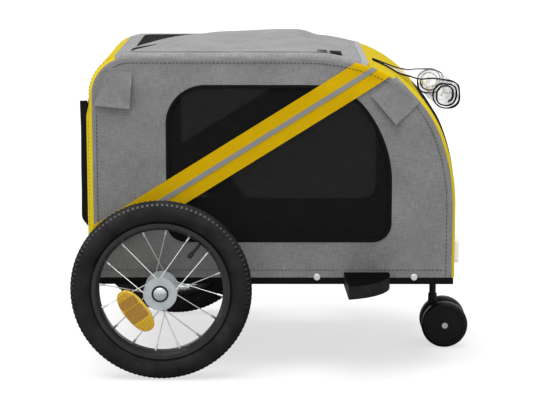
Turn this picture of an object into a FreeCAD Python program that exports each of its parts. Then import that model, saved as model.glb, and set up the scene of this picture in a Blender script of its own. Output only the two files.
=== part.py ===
import FreeCAD, Part
import math
import os

# Dog bike trailer: a tube frame with a fabric cabin, two spoked wheels and one twin-wheel caster.
# Millimetres and degrees. +X points forwards to the caster, +Y to the trailer's left, +Z up.
# The origin is on the ground under the middle of the whole trailer.
# Right-hand pieces lie on -Y and are modelled; left-hand ones are their mirror images.

# Fits and cuts
SEAT = 0.3
RUNNING_GAP = 0.05
WELD_GAP = 0.1
SPIN_CLEARANCE = 0.6
OVERRUN = 2.0
TINY = 0.001

# Stance: reaches are measured along X from the main axle
WHEEL_DIAMETER = 348.0
TRACK = 530.0
FRONT_REACH = 566.0
REAR_REACH = 138.0
CASTER_REACH = 565.0

# Cabin
CABIN_WIDTH = 430.0
CABIN_HEIGHT = 447.0
REAR_CORNER_RADIUS = 80.0
ROOF_EASE_RADIUS = 420.0
BROW_RADIUS = 235.0
NOSE_RADIUS = 400.0
ROOF_EASE_TURN = 16.0
BROW_TURN = 54.0
FABRIC = 2.5
NET = 0.8
HEM_RISE = 11.0
FRONT_SEAM_REACH = 395.0
REAR_SEAM_DEPTH = 50.0

# Tubes of the frame
TUBE_DIAMETER = 22.0
TUBE_WALL = 1.2
RAIL_SIZE = 25.0
RAIL_WALL = 1.5
RAIL_CORNER_RADIUS = 3.0
RAIL_OVER_AXLE = 1.0
MID_TUBE_REACHES = (190.0, 438.0)
BOARD = 4.0
BOARD_CORNER_RADIUS = 12.0
ROOF_TUBE_REACH = 378.0
CHIN_TUBE_RISE = 112.0

# Side window
WINDOW_REAR_REACH = 10.0
WINDOW_FRONT_REACH = 441.0
WINDOW_DROP = 60.0
WINDOW_SILL = 84.0
WINDOW_CORNER_RADIUS = 36.0
WINDOW_HEAD_RADIUS = 74.0
WINDOW_BROW_RADIUS = 116.0
WINDOW_NOSE_RADIUS = 233.0
WINDOW_BROW_TURN = 51.0
NET_LAP = 8.0

# Diagonal strap, its stripe and the corner patches
STRAP_REACH = 209.0
STRAP_RISE = 295.0
STRAP_TILT = 32.0
STRAP_WIDTH = 57.0
STRAP = 1.2
STRIPE_WIDTH = 9.5
STRIPE = 0.5
PATCH_SIZE = 72.0
PATCH = 1.5
REAR_PATCH_REACH = -92.0
REAR_PATCH_DROP = 67.0
FRONT_PATCH_REACH = 448.0
FRONT_PATCH_DROP = 88.0
FRONT_PATCH_TILT = 42.0
FRONT_PATCH_WIDTH = 62.5

# Sunroof and its loose cover
SUNROOF_REAR_REACH = -56.0
SUNROOF_FRONT_REACH = 290.0
SUNROOF_WIDTH = 372.0
SUNROOF_CORNER_RADIUS = 25.0
FLAP = 2.0
FLAP_LAP = 4.0
FLAP_HEM = 30.0
FLAP_OPEN_RADIUS = 220.0

# Front net, rear door and pocket
SCREEN_WIDTH = 330.0
SCREEN_DROP = 97.0
SCREEN_SILL = 135.0
SCREEN_BULGE = 5.0
SCREEN_CORNER_RADIUS = 28.0
DOOR_WIDTH = 310.0
DOOR_SILL = 66.0
DOOR_HEAD = 363.0
DOOR_CORNER_RADIUS = 30.0
DOOR_GAP = 0.6
POCKET_WIDTH = 290.0
POCKET_FOOT = 80.0
POCKET_HEAD = 341.0
POCKET_DEPTH = 22.0
POCKET_MOUTH = 14.0
POCKET_CORNER_RADIUS = 10.0

# Reflectors on the cabin
LENS_OFFSET = 150.0
LENS_WIDTH = 60.0
LENS = 10.0
LENS_CORNER_RADIUS = 6.0
FRONT_LENS_HEIGHT = 46.0
FRONT_LENS_RISE = 57.0
REAR_LENS_HEIGHT = 32.0
REAR_LENS_RISE = 40.0

# Rolled rain cover
COVER = 2.0
COVER_WIDTH = 230.0
COVER_ANGLE = 52.0
COVER_SLOPE = 10.0
COVER_RUN = 85.0
ROLL_RADIUS = 26.0
ROLL_LAYER = 3.6
ROLL_HALF_TURNS = 6
BINDING_WIDTH = 6.0

# Screws and wheel deflectors
SCREW_REACHES = (299.0, 487.0)
SCREW_RISE = 13.5
SCREW_HEAD_DIAMETER = 13.0
SCREW_HEAD = 4.0
SCREW_DIAMETER = 5.0
SCREW_LENGTH = 9.0
DEFLECTOR_REACH = 351.0
DEFLECTOR_LENGTH = 87.0
DEFLECTOR_OUT = 125.0
DEFLECTOR_HEIGHT = 25.0
DEFLECTOR_DROP = 2.0
DEFLECTOR_WALL = 4.0
DEFLECTOR_SLANT = 5.0
DEFLECTOR_BOW_RADIUS = 113.6
DEFLECTOR_RIBS = 3

# Tyre and rim
RIM_SEAT_DIAMETER = 254.0
RIM_INNER_DIAMETER = 237.0
RIM_WIDTH = 32.0
RIM_WALL = 2.0
RIM_FLANGE = 5.5
RIM_WELL_WIDTH = 12.0
RIM_SHELF = 5.0
TYRE_WIDTH = 44.0
TYRE_WALL = 4.0
SHOULDER_DROP = 10.0
SHOULDER_WIDTH = 36.0
GROOVE_WIDTH = 3.0
GROOVE_DEPTH = 2.0
GROOVE_OFFSET = 6.0

# Hub, bearings and spokes
HUB_OUT = 34.0
HUB_IN = 30.0
FLANGE_DIAMETER = 64.0
FLANGE = 3.0
HUB_END_DIAMETER = 36.0
HUB_WAIST_DIAMETER = 25.0
HUB_NOSE = 4.0
BEARING_DIAMETER = 28.0
BEARING_WIDTH = 8.0
HUB_CUP = 7.5
SPOKES = 16
SPOKE_DIAMETER = 2.0
SPOKE_RING = 56.0
SPOKE_FIRST_ANGLE = 61.9
SPOKE_SWEEP = 30.0
SPOKE_SINK = 1.0
NIPPLE_DIAMETER = 4.4
NIPPLE_LENGTH = 12.0
VALVE_ANGLE = 50.0
VALVE_DIAMETER = 6.0
VALVE_LENGTH = 23.0
VALVE_CAP_DIAMETER = 9.0
VALVE_CAP_LENGTH = 13.0
GLINT_ANGLE = 216.5
GLINT_RADIUS = 60.0
GLINT_LENGTH = 98.0
GLINT_HEIGHT = 45.0
GLINT = 11.0
GLINT_OFFSET = -3.95
GLINT_BORDER = 5.0
GLINT_RECESS = 1.5
GLINT_RIB = 8.0
GLINT_CORNER_RADIUS = 21.0

# Quick-release axle
AXLE_DIAMETER = 12.0
AXLE_PLUG = 80.0
AXLE_TUBE_DIAMETER = 20.0
AXLE_HEAD_DIAMETER = 31.4
AXLE_HEAD = 2.2
SEAL_HEIGHT = 6.0
BUTTON_DIAMETER = 25.0
BUTTON_TRAVEL = 3.0
BUTTON_DOME = 4.0
BUTTON_SKIRT = 2.5
PLUNGER_DIAMETER = 5.0
PLUNGER_LENGTH = 42.0
BOLT_DIAMETER = 11.2
BOLT_LENGTH = 44.3
BOLT_DROP = 4.0
BOLT_TIP_DIAMETER = 7.0
BOLT_TIP = 7.7

# Caster
CASTER_TRAIL = 23.0
CASTER_RISE = 3.0
CASTER_WIDTH = 75.0
CASTER_WHEEL_WIDTH = 25.0
CASTER_TREAD_SHARE = 0.149
CASTER_DISH_SHARE = 0.8
CASTER_DISH = 1.6
CASTER_HUB_DIAMETER = 24.0
CASTER_AXLE_DIAMETER = 8.0
CASTER_CAP_DIAMETER = 12.0
CASTER_CAP = 2.0
FORK_EYE_DIAMETER = 30.0
FORK_BOSS_DIAMETER = 18.0
FORK_BOSS = 15.0
STEM_DIAMETER = 13.8
STEM_SHOW = 25.7
STEM_COLLAR_DIAMETER = 18.0
STEM_COLLAR = 3.0
SOCKET_DIAMETER = 22.0
SOCKET_LENGTH = 36.0
SOCKET_PLATE = 4.0
SOCKET_PLATE_LENGTH = 48.0
SOCKET_PLATE_WIDTH = 60.0
SOCKET_PLATE_FRONT = 0.8

# Drawbar socket under the left of the frame
DRAWBAR_OFFSET = 150.0
DRAWBAR_BORE_DIAMETER = 25.5
DRAWBAR_WALL = 3.2
DRAWBAR_LENGTH = 130.0
DRAWBAR_BORE_LENGTH = 90.0

# Places worked out from the sizes above
WHEEL_RADIUS = WHEEL_DIAMETER / 2
AXLE_Z = WHEEL_RADIUS
BASE_Z = AXLE_Z + RAIL_OVER_AXLE
SLEEVE_FOOT_Z = BASE_Z - SOCKET_PLATE - SOCKET_LENGTH
FORK_TOP_Z = SLEEVE_FOOT_Z - SEAT - STEM_COLLAR - STEM_SHOW
FORK_FOOT_Z = FORK_TOP_Z - FORK_BOSS
CASTER_DIAMETER = FORK_FOOT_Z + CASTER_RISE
CASTER_RADIUS = CASTER_DIAMETER / 2
AXLE_X = -(CASTER_REACH + CASTER_RADIUS - WHEEL_RADIUS) / 2
WHEEL_Y = -TRACK / 2
FRONT_X = AXLE_X + FRONT_REACH
REAR_X = AXLE_X - REAR_REACH
RAIL_TOP_Z = BASE_Z + RAIL_SIZE
HEM_Z = BASE_Z + HEM_RISE
ROOF_Z = BASE_Z + CABIN_HEIGHT
HALF_WIDTH = CABIN_WIDTH / 2
TUBE_RADIUS = TUBE_DIAMETER / 2
EDGE_RADIUS = TUBE_RADIUS + SEAT + FABRIC
RAIL_OUT_Y = -HALF_WIDTH + FABRIC + SEAT
RAIL_IN_Y = RAIL_OUT_Y + RAIL_SIZE
HOOP_Y = -HALF_WIDTH + EDGE_RADIUS
BROW_RADII = (ROOF_EASE_RADIUS, BROW_RADIUS, NOSE_RADIUS)
BROW_TURNS = (ROOF_EASE_TURN, BROW_TURN, 90.0 - ROOF_EASE_TURN - BROW_TURN)
WINDOW_RADII = (WINDOW_BROW_RADIUS, WINDOW_NOSE_RADIUS)
WINDOW_TURNS = (WINDOW_BROW_TURN, 90.0 - WINDOW_BROW_TURN)
AXLE_RADIUS = AXLE_DIAMETER / 2
CASTER_X = AXLE_X + CASTER_REACH
CASTER_Z = CASTER_RADIUS
STEM_X = CASTER_X - CASTER_TRAIL

ORIGIN = FreeCAD.Vector(0, 0, 0)
ALONG_X = FreeCAD.Vector(1, 0, 0)
ALONG_Y = FreeCAD.Vector(0, 1, 0)
ALONG_Z = FreeCAD.Vector(0, 0, 1)


# Small helpers

def point(x, y, z):
    return FreeCAD.Vector(x, y, z)


def polar(radius, angle):
    """A point in the XZ plane, its angle counted from +X up to +Z."""
    turn = math.radians(angle)
    return point(radius * math.cos(turn), 0, radius * math.sin(turn))


def block(x0, x1, y0, y1, z0, z1):
    return Part.makeBox(x1 - x0, y1 - y0, z1 - z0, point(x0, y0, z0))


def rod_x(radius, x0, x1, y, z):
    return Part.makeCylinder(radius, x1 - x0, point(x0, y, z), ALONG_X)


def rod_y(radius, x, y0, y1, z):
    return Part.makeCylinder(radius, y1 - y0, point(x, y0, z), ALONG_Y)


def rod_z(radius, x, y, z0, z1):
    return Part.makeCylinder(radius, z1 - z0, point(x, y, z0), ALONG_Z)


def mirrored(shape):
    return shape.mirror(ORIGIN, ALONG_Y)


def both(shape):
    """A right-hand shape and its left-hand twin, as separate solids."""
    return Part.makeCompound(shape.Solids + mirrored(shape).Solids)


def arc_edge(centre, radius, start, stop):
    middle = (start + stop) / 2
    ends = [centre + polar(radius, angle) for angle in (start, middle, stop)]
    return Part.Arc(ends[0], ends[1], ends[2]).toShape()


def plate(wire, y0, y1):
    """An outline in the XZ plane, thickened from y0 to y1."""
    face = Part.Face(wire)
    face.translate(point(0, y0, 0))
    return face.extrude(point(0, y1 - y0, 0))


def polygon(points):
    return Part.makePolygon(points + points[:1])


def turned(points):
    """A closed profile of (radius, y) pairs, turned about the Y axis."""
    face = Part.Face(polygon([point(r, y, 0) for r, y in points]))
    return face.revolve(ORIGIN, ALONG_Y, 360)


def rounded(solid, radius, direction):
    """The solid with its edges along one direction rounded."""
    chosen = []
    for edge in solid.Edges:
        along = edge.Vertexes[-1].Point - edge.Vertexes[0].Point
        if along.Length > TINY and along.cross(direction).Length < TINY * along.Length:
            chosen.append(edge)
    return solid.makeFillet(radius, chosen)


def upright_edges(solid, places):
    """The solid's upright edges at these places in plan."""
    chosen = []
    for edge in solid.Edges:
        middle = edge.CenterOfMass
        tall = edge.BoundBox.ZLength > TINY
        if tall and any(abs(middle.x - x) + abs(middle.y - y) < TINY for x, y in places):
            chosen.append(edge)
    return chosen


def save(name, shape):
    solids = shape.Solids
    if not solids or not all(solid.isValid() for solid in solids):
        raise ValueError(name + " has no valid solid")
    whole = solids[0] if len(solids) == 1 else Part.makeCompound(solids)
    whole.exportStep("parts/" + name + ".step")


def save_pair(name, shape):
    save(name + "_right", shape)
    save(name + "_left", mirrored(shape))


# Cabin outline: straight rear, rounded rear top, flat roof and a front of three tangent arcs

def brow_centres(front_x, top_z, radii, turns):
    """Centres of a chain of tangent arcs that leads from level at top_z to upright at front_x."""
    centres = [point(0, 0, top_z - radii[0])]
    angle = 90.0
    for index in range(1, len(radii)):
        angle -= turns[index - 1]
        centres.append(centres[-1] + polar(radii[index - 1] - radii[index], angle))
    shift = front_x - radii[-1] - centres[-1].x
    return [centre + point(shift, 0, 0) for centre in centres]


def brow_edges(front_x, top_z, radii, turns, inset):
    edges = []
    angle = 90.0
    for centre, radius, turn in zip(brow_centres(front_x, top_z, radii, turns), radii, turns):
        edges.append(arc_edge(centre, radius - inset, angle, angle - turn))
        angle -= turn
    return edges


def under_brow(x, depth):
    """The place at x that lies depth below the roof and the front arcs."""
    angle = 90.0
    centres = brow_centres(FRONT_X, ROOF_Z, BROW_RADII, BROW_TURNS)
    for centre, radius, turn in zip(centres, BROW_RADII, BROW_TURNS):
        angle -= turn
        share = max((x - centre.x) / (radius - depth), 0)
        if share <= math.cos(math.radians(angle)):
            break
    rise = (radius - depth) * math.sin(math.acos(min(share, 1)))
    return point(x, 0, centre.z + rise)


def cabin_path(inset, foot):
    """Edges over the cabin from the rear foot to the front foot, set in by inset."""
    corner = point(REAR_X + REAR_CORNER_RADIUS, 0, ROOF_Z - REAR_CORNER_RADIUS)
    rear = arc_edge(corner, REAR_CORNER_RADIUS - inset, 180, 90)
    brow = brow_edges(FRONT_X, ROOF_Z, BROW_RADII, BROW_TURNS, inset)
    rear_top = corner - point(REAR_CORNER_RADIUS - inset, 0, 0)
    roof_rear = corner + point(0, 0, REAR_CORNER_RADIUS - inset)
    front_top = brow[-1].Vertexes[-1].Point
    return ([Part.makeLine(point(rear_top.x, 0, foot), rear_top), rear,
             Part.makeLine(roof_rear, brow[0].Vertexes[0].Point)] + brow
            + [Part.makeLine(front_top, point(front_top.x, 0, foot))])


def cabin_outline(inset, foot):
    path = cabin_path(inset, foot)
    closing = Part.makeLine(path[-1].Vertexes[-1].Point, path[0].Vertexes[0].Point)
    return Part.Wire(path + [closing])


def cabin_block(inset, foot):
    """The cabin as a solid with its long edges rounded, set in by inset on every side but the foot."""
    half = HALF_WIDTH - inset
    solid = plate(cabin_outline(inset, foot), -half, half)
    long_edges = []
    for edge in solid.Edges:
        middle = edge.CenterOfMass
        if abs(abs(middle.y) - half) < TINY and middle.z > foot + TINY:
            long_edges.append(edge)
    return solid.makeFillet(EDGE_RADIUS - inset, long_edges)


def cabin_layer(outer, inner):
    """The skin between two insets of the cabin, open at its foot."""
    return cabin_block(outer, HEM_Z).cut(cabin_block(inner, HEM_Z - OVERRUN))


def side_field(y0, y1):
    """The flat of one side, inside the rounded edges."""
    return plate(cabin_outline(EDGE_RADIUS, HEM_Z), y0, y1)


# Frame

def square_tube_y(y0, y1, x, z):
    outer = rounded(block(x, x + RAIL_SIZE, y0, y1, z, z + RAIL_SIZE), RAIL_CORNER_RADIUS, ALONG_Y)
    inner = block(x + RAIL_WALL, x + RAIL_SIZE - RAIL_WALL, y0 - OVERRUN, y1 + OVERRUN,
                  z + RAIL_WALL, z + RAIL_SIZE - RAIL_WALL)
    return outer.cut(inner)


def screw_places():
    return [(AXLE_X + reach, BASE_Z + SCREW_RISE) for reach in SCREW_REACHES]


def base_rail():
    """Square tube with plugged ends that are rounded to fit inside the cover."""
    rear = REAR_X + FABRIC + SEAT
    front = FRONT_X - FABRIC - SEAT
    outer = rounded(block(rear, front, RAIL_OUT_Y, RAIL_IN_Y, BASE_Z, RAIL_TOP_Z), RAIL_CORNER_RADIUS, ALONG_X)
    inner = block(rear + EDGE_RADIUS, front - EDGE_RADIUS, RAIL_OUT_Y + RAIL_WALL, RAIL_IN_Y - RAIL_WALL,
                  BASE_Z + RAIL_WALL, RAIL_TOP_Z - RAIL_WALL)
    rail = outer.common(cabin_block(FABRIC + SEAT, BASE_Z - OVERRUN)).cut(inner)
    notch = rod_y(AXLE_TUBE_DIAMETER / 2 + WELD_GAP, AXLE_X, RAIL_OUT_Y - OVERRUN,
                  RAIL_IN_Y + OVERRUN, AXLE_Z)
    holes = [rod_y(SCREW_DIAMETER / 2 + RUNNING_GAP, x, RAIL_OUT_Y - OVERRUN,
                   RAIL_OUT_Y + RAIL_WALL + OVERRUN, z) for x, z in screw_places()]
    return rail.cut([notch] + holes)


def base_cross_tubes():
    """Front, middle and rear cross tubes, square-cut against the rails."""
    front = FRONT_X - FABRIC - SEAT - RAIL_SIZE
    rear = REAR_X + FABRIC + SEAT
    middle = [AXLE_X + reach - RAIL_SIZE / 2 for reach in MID_TUBE_REACHES]
    return Part.makeCompound([square_tube_y(RAIL_IN_Y, -RAIL_IN_Y, x, BASE_Z)
                              for x in [rear] + middle + [front]])


def hoop_solid(radius):
    path = Part.Wire(cabin_path(EDGE_RADIUS, RAIL_TOP_Z))
    start = path.Edges[0].Vertexes[0].Point
    section = Part.Wire(Part.makeCircle(radius, start, ALONG_Z))
    hoop = path.makePipeShell([section], True, False)
    hoop.translate(point(0, HOOP_Y, 0))
    return hoop


def hoop():
    return hoop_solid(TUBE_RADIUS).cut(hoop_solid(TUBE_RADIUS - TUBE_WALL))


def top_cross_tubes():
    """Cross tubes at the rear corner, the roof seam and the chin, coped to the hoops."""
    depth = EDGE_RADIUS
    corner = point(REAR_X + REAR_CORNER_RADIUS, 0, ROOF_Z - REAR_CORNER_RADIUS)
    places = [corner + polar(REAR_CORNER_RADIUS - depth, 135),
              under_brow(AXLE_X + ROOF_TUBE_REACH, depth),
              point(FRONT_X - depth, 0, BASE_Z + CHIN_TUBE_RISE)]
    fat = hoop_solid(TUBE_RADIUS + WELD_GAP)
    tubes = []
    for place in places:
        tube = rod_y(TUBE_RADIUS, place.x, HOOP_Y, -HOOP_Y, place.z)
        bore = rod_y(TUBE_RADIUS - TUBE_WALL, place.x, HOOP_Y - OVERRUN, OVERRUN - HOOP_Y, place.z)
        tubes.append(tube.cut([bore, fat, mirrored(fat)]))
    return Part.makeCompound(tubes)


def floor_board():
    """Board lying on the base cross tubes, between the feet of the hoops."""
    edge_y = HOOP_Y + TUBE_RADIUS + SEAT
    board = block(REAR_X + FABRIC + SEAT, FRONT_X - FABRIC - SEAT, edge_y, -edge_y,
                  RAIL_TOP_Z, RAIL_TOP_Z + BOARD)
    return rounded(board, BOARD_CORNER_RADIUS, ALONG_Z)


def axle_tube_end():
    return WHEEL_Y + HUB_IN + SEAT


def axle_tube():
    end = axle_tube_end()
    tube = rod_y(AXLE_TUBE_DIAMETER / 2, AXLE_X, end, -end, AXLE_Z)
    return tube.cut(rod_y(AXLE_RADIUS + RUNNING_GAP, AXLE_X, end - OVERRUN, OVERRUN - end, AXLE_Z))


def axle_bolts():
    """Bright barrels that stand forwards from the ends of the axle tube, between hub and rail."""
    y = (axle_tube_end() + RAIL_OUT_Y - FABRIC) / 2
    z = AXLE_Z - BOLT_DROP
    tube = rod_y(AXLE_TUBE_DIAMETER / 2 + WELD_GAP, AXLE_X, y - BOLT_DIAMETER, y + BOLT_DIAMETER, AXLE_Z)
    barrel = rod_x(BOLT_DIAMETER / 2, AXLE_X, AXLE_X + BOLT_LENGTH, y, z)
    tip = rod_x(BOLT_TIP_DIAMETER / 2, AXLE_X + BOLT_LENGTH, AXLE_X + BOLT_LENGTH + BOLT_TIP, y, z)
    return both(barrel.fuse(tip).cut(tube))


def caster_socket():
    """Sleeve under a plate that is fixed below the front cross tube."""
    front = FRONT_X - FABRIC - SEAT - SOCKET_PLATE_FRONT
    plate_foot = BASE_Z - SOCKET_PLATE
    base = block(front - SOCKET_PLATE_LENGTH, front, -SOCKET_PLATE_WIDTH / 2, SOCKET_PLATE_WIDTH / 2,
                 plate_foot, BASE_Z)
    sleeve = rod_z(SOCKET_DIAMETER / 2, STEM_X, 0, SLEEVE_FOOT_Z, BASE_Z)
    bore = rod_z(STEM_DIAMETER / 2 + RUNNING_GAP, STEM_X, 0, SLEEVE_FOOT_Z - OVERRUN, plate_foot)
    return rounded(base, BOARD_CORNER_RADIUS, ALONG_Z).fuse(sleeve).cut(bore)


def drawbar_socket():
    """Round socket with a flat saddle that is welded under the middle and front cross tubes."""
    radius = DRAWBAR_BORE_DIAMETER / 2 + DRAWBAR_WALL
    front = FRONT_X - FABRIC - SEAT
    centre = BASE_Z - radius
    saddle = block(front - DRAWBAR_LENGTH, front, DRAWBAR_OFFSET - radius, DRAWBAR_OFFSET + radius,
                   centre, BASE_Z)
    barrel = rod_x(radius, front - DRAWBAR_LENGTH, front, DRAWBAR_OFFSET, centre)
    bore = rod_x(DRAWBAR_BORE_DIAMETER / 2, front - DRAWBAR_BORE_LENGTH, front + OVERRUN,
                 DRAWBAR_OFFSET, centre)
    return saddle.fuse(barrel).cut(bore)


def rail_screws():
    """Pan-head screws through the hem into the rail."""
    screws = []
    for x, z in screw_places():
        head_y = -HALF_WIDTH - SCREW_HEAD
        head = rod_y(SCREW_HEAD_DIAMETER / 2, x, head_y, -HALF_WIDTH, z)
        rim = [edge for edge in head.Edges
               if abs(edge.CenterOfMass.y - head_y) < TINY and len(edge.Vertexes) == 1]
        head = head.makeFillet(SCREW_HEAD / 2, rim)
        shank = rod_y(SCREW_DIAMETER / 2, x, -HALF_WIDTH, -HALF_WIDTH + SCREW_LENGTH, z)
        screws.append(head.fuse(shank))
    return both(Part.makeCompound(screws))


def deflector_outline():
    """The deflector seen from above: a straight rear edge and one bowed wall back to the rail."""
    inner_y = -HALF_WIDTH - SEAT
    rear = AXLE_X + DEFLECTOR_REACH
    heel = point(rear, inner_y, 0)
    tip = point(rear + DEFLECTOR_SLANT, inner_y - DEFLECTOR_OUT, 0)
    toe = point(rear + DEFLECTOR_LENGTH, inner_y, 0)
    chord = toe - tip
    half = chord.Length / 2
    sag = DEFLECTOR_BOW_RADIUS - math.sqrt(DEFLECTOR_BOW_RADIUS ** 2 - half ** 2)
    outwards = chord.cross(ALONG_Z)
    outwards.normalize()
    bow = Part.Arc(tip, (tip + toe) / 2 + outwards * sag, toe).toShape()
    return Part.Wire([Part.makeLine(heel, tip), bow, Part.makeLine(toe, heel)])


def wheel_deflector():
    """Moulded shelf that stands out from the rail, hollow and ribbed below."""
    foot = BASE_Z - DEFLECTOR_DROP
    face = Part.Face(deflector_outline())
    body = face.extrude(point(0, 0, DEFLECTOR_HEIGHT))
    hollow = face.makeOffset2D(-DEFLECTOR_WALL).extrude(point(0, 0, DEFLECTOR_HEIGHT - DEFLECTOR_WALL))
    box = body.BoundBox
    ribs = []
    for index in range(DEFLECTOR_RIBS):
        x = box.XMin + DEFLECTOR_LENGTH * (index + 1) / (DEFLECTOR_RIBS + 1)
        rib = block(x - DEFLECTOR_WALL / 2, x + DEFLECTOR_WALL / 2, box.YMin, box.YMax, 0, DEFLECTOR_HEIGHT)
        ribs.append(rib.common(body))
    shelf = body.cut(hollow).fuse(ribs).removeSplitter()
    shelf.translate(point(0, 0, foot))
    return shelf


# Cover

def window_outline(lap):
    """The side window's outline, made larger by lap."""
    rear = AXLE_X + WINDOW_REAR_REACH
    top = ROOF_Z - WINDOW_DROP
    sill = BASE_Z + WINDOW_SILL
    front = AXLE_X + WINDOW_FRONT_REACH
    foot = WINDOW_CORNER_RADIUS
    head = WINDOW_HEAD_RADIUS
    brow = brow_edges(front, top, WINDOW_RADII, WINDOW_TURNS, -lap)
    corners = [(point(front - foot, 0, sill + foot), foot, 0, -90),
               (point(rear + foot, 0, sill + foot), foot, -90, -180),
               (point(rear + head, 0, top - head), head, 180, 90)]
    edges = list(brow)
    for centre, radius, start, stop in corners:
        bend = arc_edge(centre, radius + lap, start, stop)
        edges.append(Part.makeLine(edges[-1].Vertexes[-1].Point, bend.Vertexes[0].Point))
        edges.append(bend)
    edges.append(Part.makeLine(edges[-1].Vertexes[-1].Point, edges[0].Vertexes[0].Point))
    return Part.Wire(edges)


def side_panel(skin):
    panel = skin.common(side_field(-HALF_WIDTH - OVERRUN, -HALF_WIDTH + EDGE_RADIUS))
    window = plate(window_outline(0), -HALF_WIDTH - OVERRUN, -HALF_WIDTH + FABRIC + OVERRUN)
    holes = [rod_y(SCREW_DIAMETER / 2 + RUNNING_GAP, x, -HALF_WIDTH - OVERRUN, RAIL_OUT_Y, z)
             for x, z in screw_places()]
    return panel.cut([window] + holes)


def window_mesh():
    return plate(window_outline(NET_LAP), -HALF_WIDTH + FABRIC, -HALF_WIDTH + FABRIC + NET)


def strap_field(width, y0, y1):
    """A long band across the side at the strap's tilt."""
    length = FRONT_REACH + REAR_REACH
    band = block(-length, length, y0, y1, -width / 2, width / 2)
    band.rotate(ORIGIN, ALONG_Y, -STRAP_TILT)
    band.translate(point(AXLE_X + STRAP_REACH, 0, BASE_Z + STRAP_RISE))
    return band


def side_band(width, y0, y1):
    return strap_field(width, y0, y1).common(side_field(y0, y1))


def side_strap():
    return side_band(STRAP_WIDTH, -HALF_WIDTH - STRAP, -HALF_WIDTH)


def reflective_stripes():
    return both(side_band(STRIPE_WIDTH, -HALF_WIDTH - STRAP - STRIPE, -HALF_WIDTH - STRAP))


def corner_patches():
    """Pieces of cover fabric at the two upper corners, the front one standing on its corner."""
    y0 = -HALF_WIDTH - PATCH
    places = [(REAR_PATCH_REACH, REAR_PATCH_DROP, 0, PATCH_SIZE),
              (FRONT_PATCH_REACH, FRONT_PATCH_DROP, FRONT_PATCH_TILT, FRONT_PATCH_WIDTH)]
    half = PATCH_SIZE / 2
    field = side_field(y0, -HALF_WIDTH)
    strap = strap_field(STRAP_WIDTH + SEAT + SEAT, y0 - OVERRUN, -HALF_WIDTH + OVERRUN)
    patches = []
    for reach, drop, tilt, width in places:
        patch = block(-width / 2, width / 2, y0, -HALF_WIDTH, -half, half)
        patch.rotate(ORIGIN, ALONG_Y, -tilt)
        patch.translate(point(AXLE_X + reach, 0, ROOF_Z - drop))
        patches.append(patch.common(field).cut(strap))
    return both(Part.makeCompound(patches))


def sunroof_field(lap):
    """Upright prism of the sunroof's opening, made larger by lap."""
    half = SUNROOF_WIDTH / 2 + lap
    field = block(AXLE_X + SUNROOF_REAR_REACH - lap, AXLE_X + SUNROOF_FRONT_REACH + lap, -half, half,
                  ROOF_Z - REAR_CORNER_RADIUS, ROOF_Z + EDGE_RADIUS)
    return rounded(field, SUNROOF_CORNER_RADIUS + lap, ALONG_Z)


def flap_field():
    """Upright prism of the sunroof's cover, widely rounded at the corner that is left open."""
    half = SUNROOF_WIDTH / 2 + FLAP_LAP
    rear = AXLE_X + SUNROOF_REAR_REACH - FLAP_LAP
    front = AXLE_X + SUNROOF_FRONT_REACH + FLAP_HEM
    field = block(rear, front, -half, half, ROOF_Z - REAR_CORNER_RADIUS, ROOF_Z + EDGE_RADIUS)
    field = field.makeFillet(FLAP_OPEN_RADIUS, upright_edges(field, [(rear, half)]))
    others = upright_edges(field, [(rear, -half), (front, -half), (front, half)])
    return field.makeFillet(SUNROOF_CORNER_RADIUS, others)


def screen_field(lap):
    """Lengthwise prism of the front opening, made larger by lap."""
    half = SCREEN_WIDTH / 2 + lap
    field = block(AXLE_X + FRONT_SEAM_REACH, FRONT_X + EDGE_RADIUS, -half, half,
                  BASE_Z + SCREEN_SILL - lap, ROOF_Z - SCREEN_DROP + lap)
    return rounded(field, SCREEN_CORNER_RADIUS + lap, ALONG_X)


def door_field(gap):
    """Lengthwise prism of the rear opening, made smaller by gap."""
    half = DOOR_WIDTH / 2 - gap
    field = block(REAR_X - OVERRUN, REAR_X + EDGE_RADIUS, -half, half,
                  BASE_Z + DOOR_SILL + gap, BASE_Z + DOOR_HEAD - gap)
    return rounded(field, DOOR_CORNER_RADIUS - gap, ALONG_X)


def roof_mesh():
    return cabin_layer(FABRIC, FABRIC + NET).common(sunroof_field(NET_LAP))


def roof_flap():
    return cabin_layer(-SEAT - FLAP, -SEAT).common(flap_field())


def front_screen():
    """Net that bulges out of the front opening, with a narrow return all round."""
    outer = cabin_block(-SCREEN_BULGE, HEM_Z).common(screen_field(0))
    inner = cabin_block(NET - SCREEN_BULGE, HEM_Z - OVERRUN).common(screen_field(-NET))
    return outer.cut([inner, cabin_block(FABRIC, HEM_Z - OVERRUN)])


def cover_pieces(skin):
    """The band round the cabin, cut at its seams into rear border, roof and front border."""
    field = side_field(-HALF_WIDTH - OVERRUN, -HALF_WIDTH + EDGE_RADIUS)
    band = skin.cut([field, mirrored(field)])
    rear_seam = REAR_X + REAR_SEAM_DEPTH
    front_seam = AXLE_X + FRONT_SEAM_REACH
    low = HEM_Z - OVERRUN
    high = ROOF_Z + OVERRUN
    half = HALF_WIDTH + OVERRUN
    rear = band.common(block(REAR_X - OVERRUN, rear_seam, -half, half, low, high))
    roof = band.common(block(rear_seam, front_seam, -half, half, low, high))
    front = band.common(block(front_seam, FRONT_X + OVERRUN, -half, half, low, high))
    return rear.cut(door_field(0)), roof.cut(sunroof_field(0)), front.cut(screen_field(0))


def rear_door(skin):
    return skin.common(door_field(DOOR_GAP))


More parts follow.
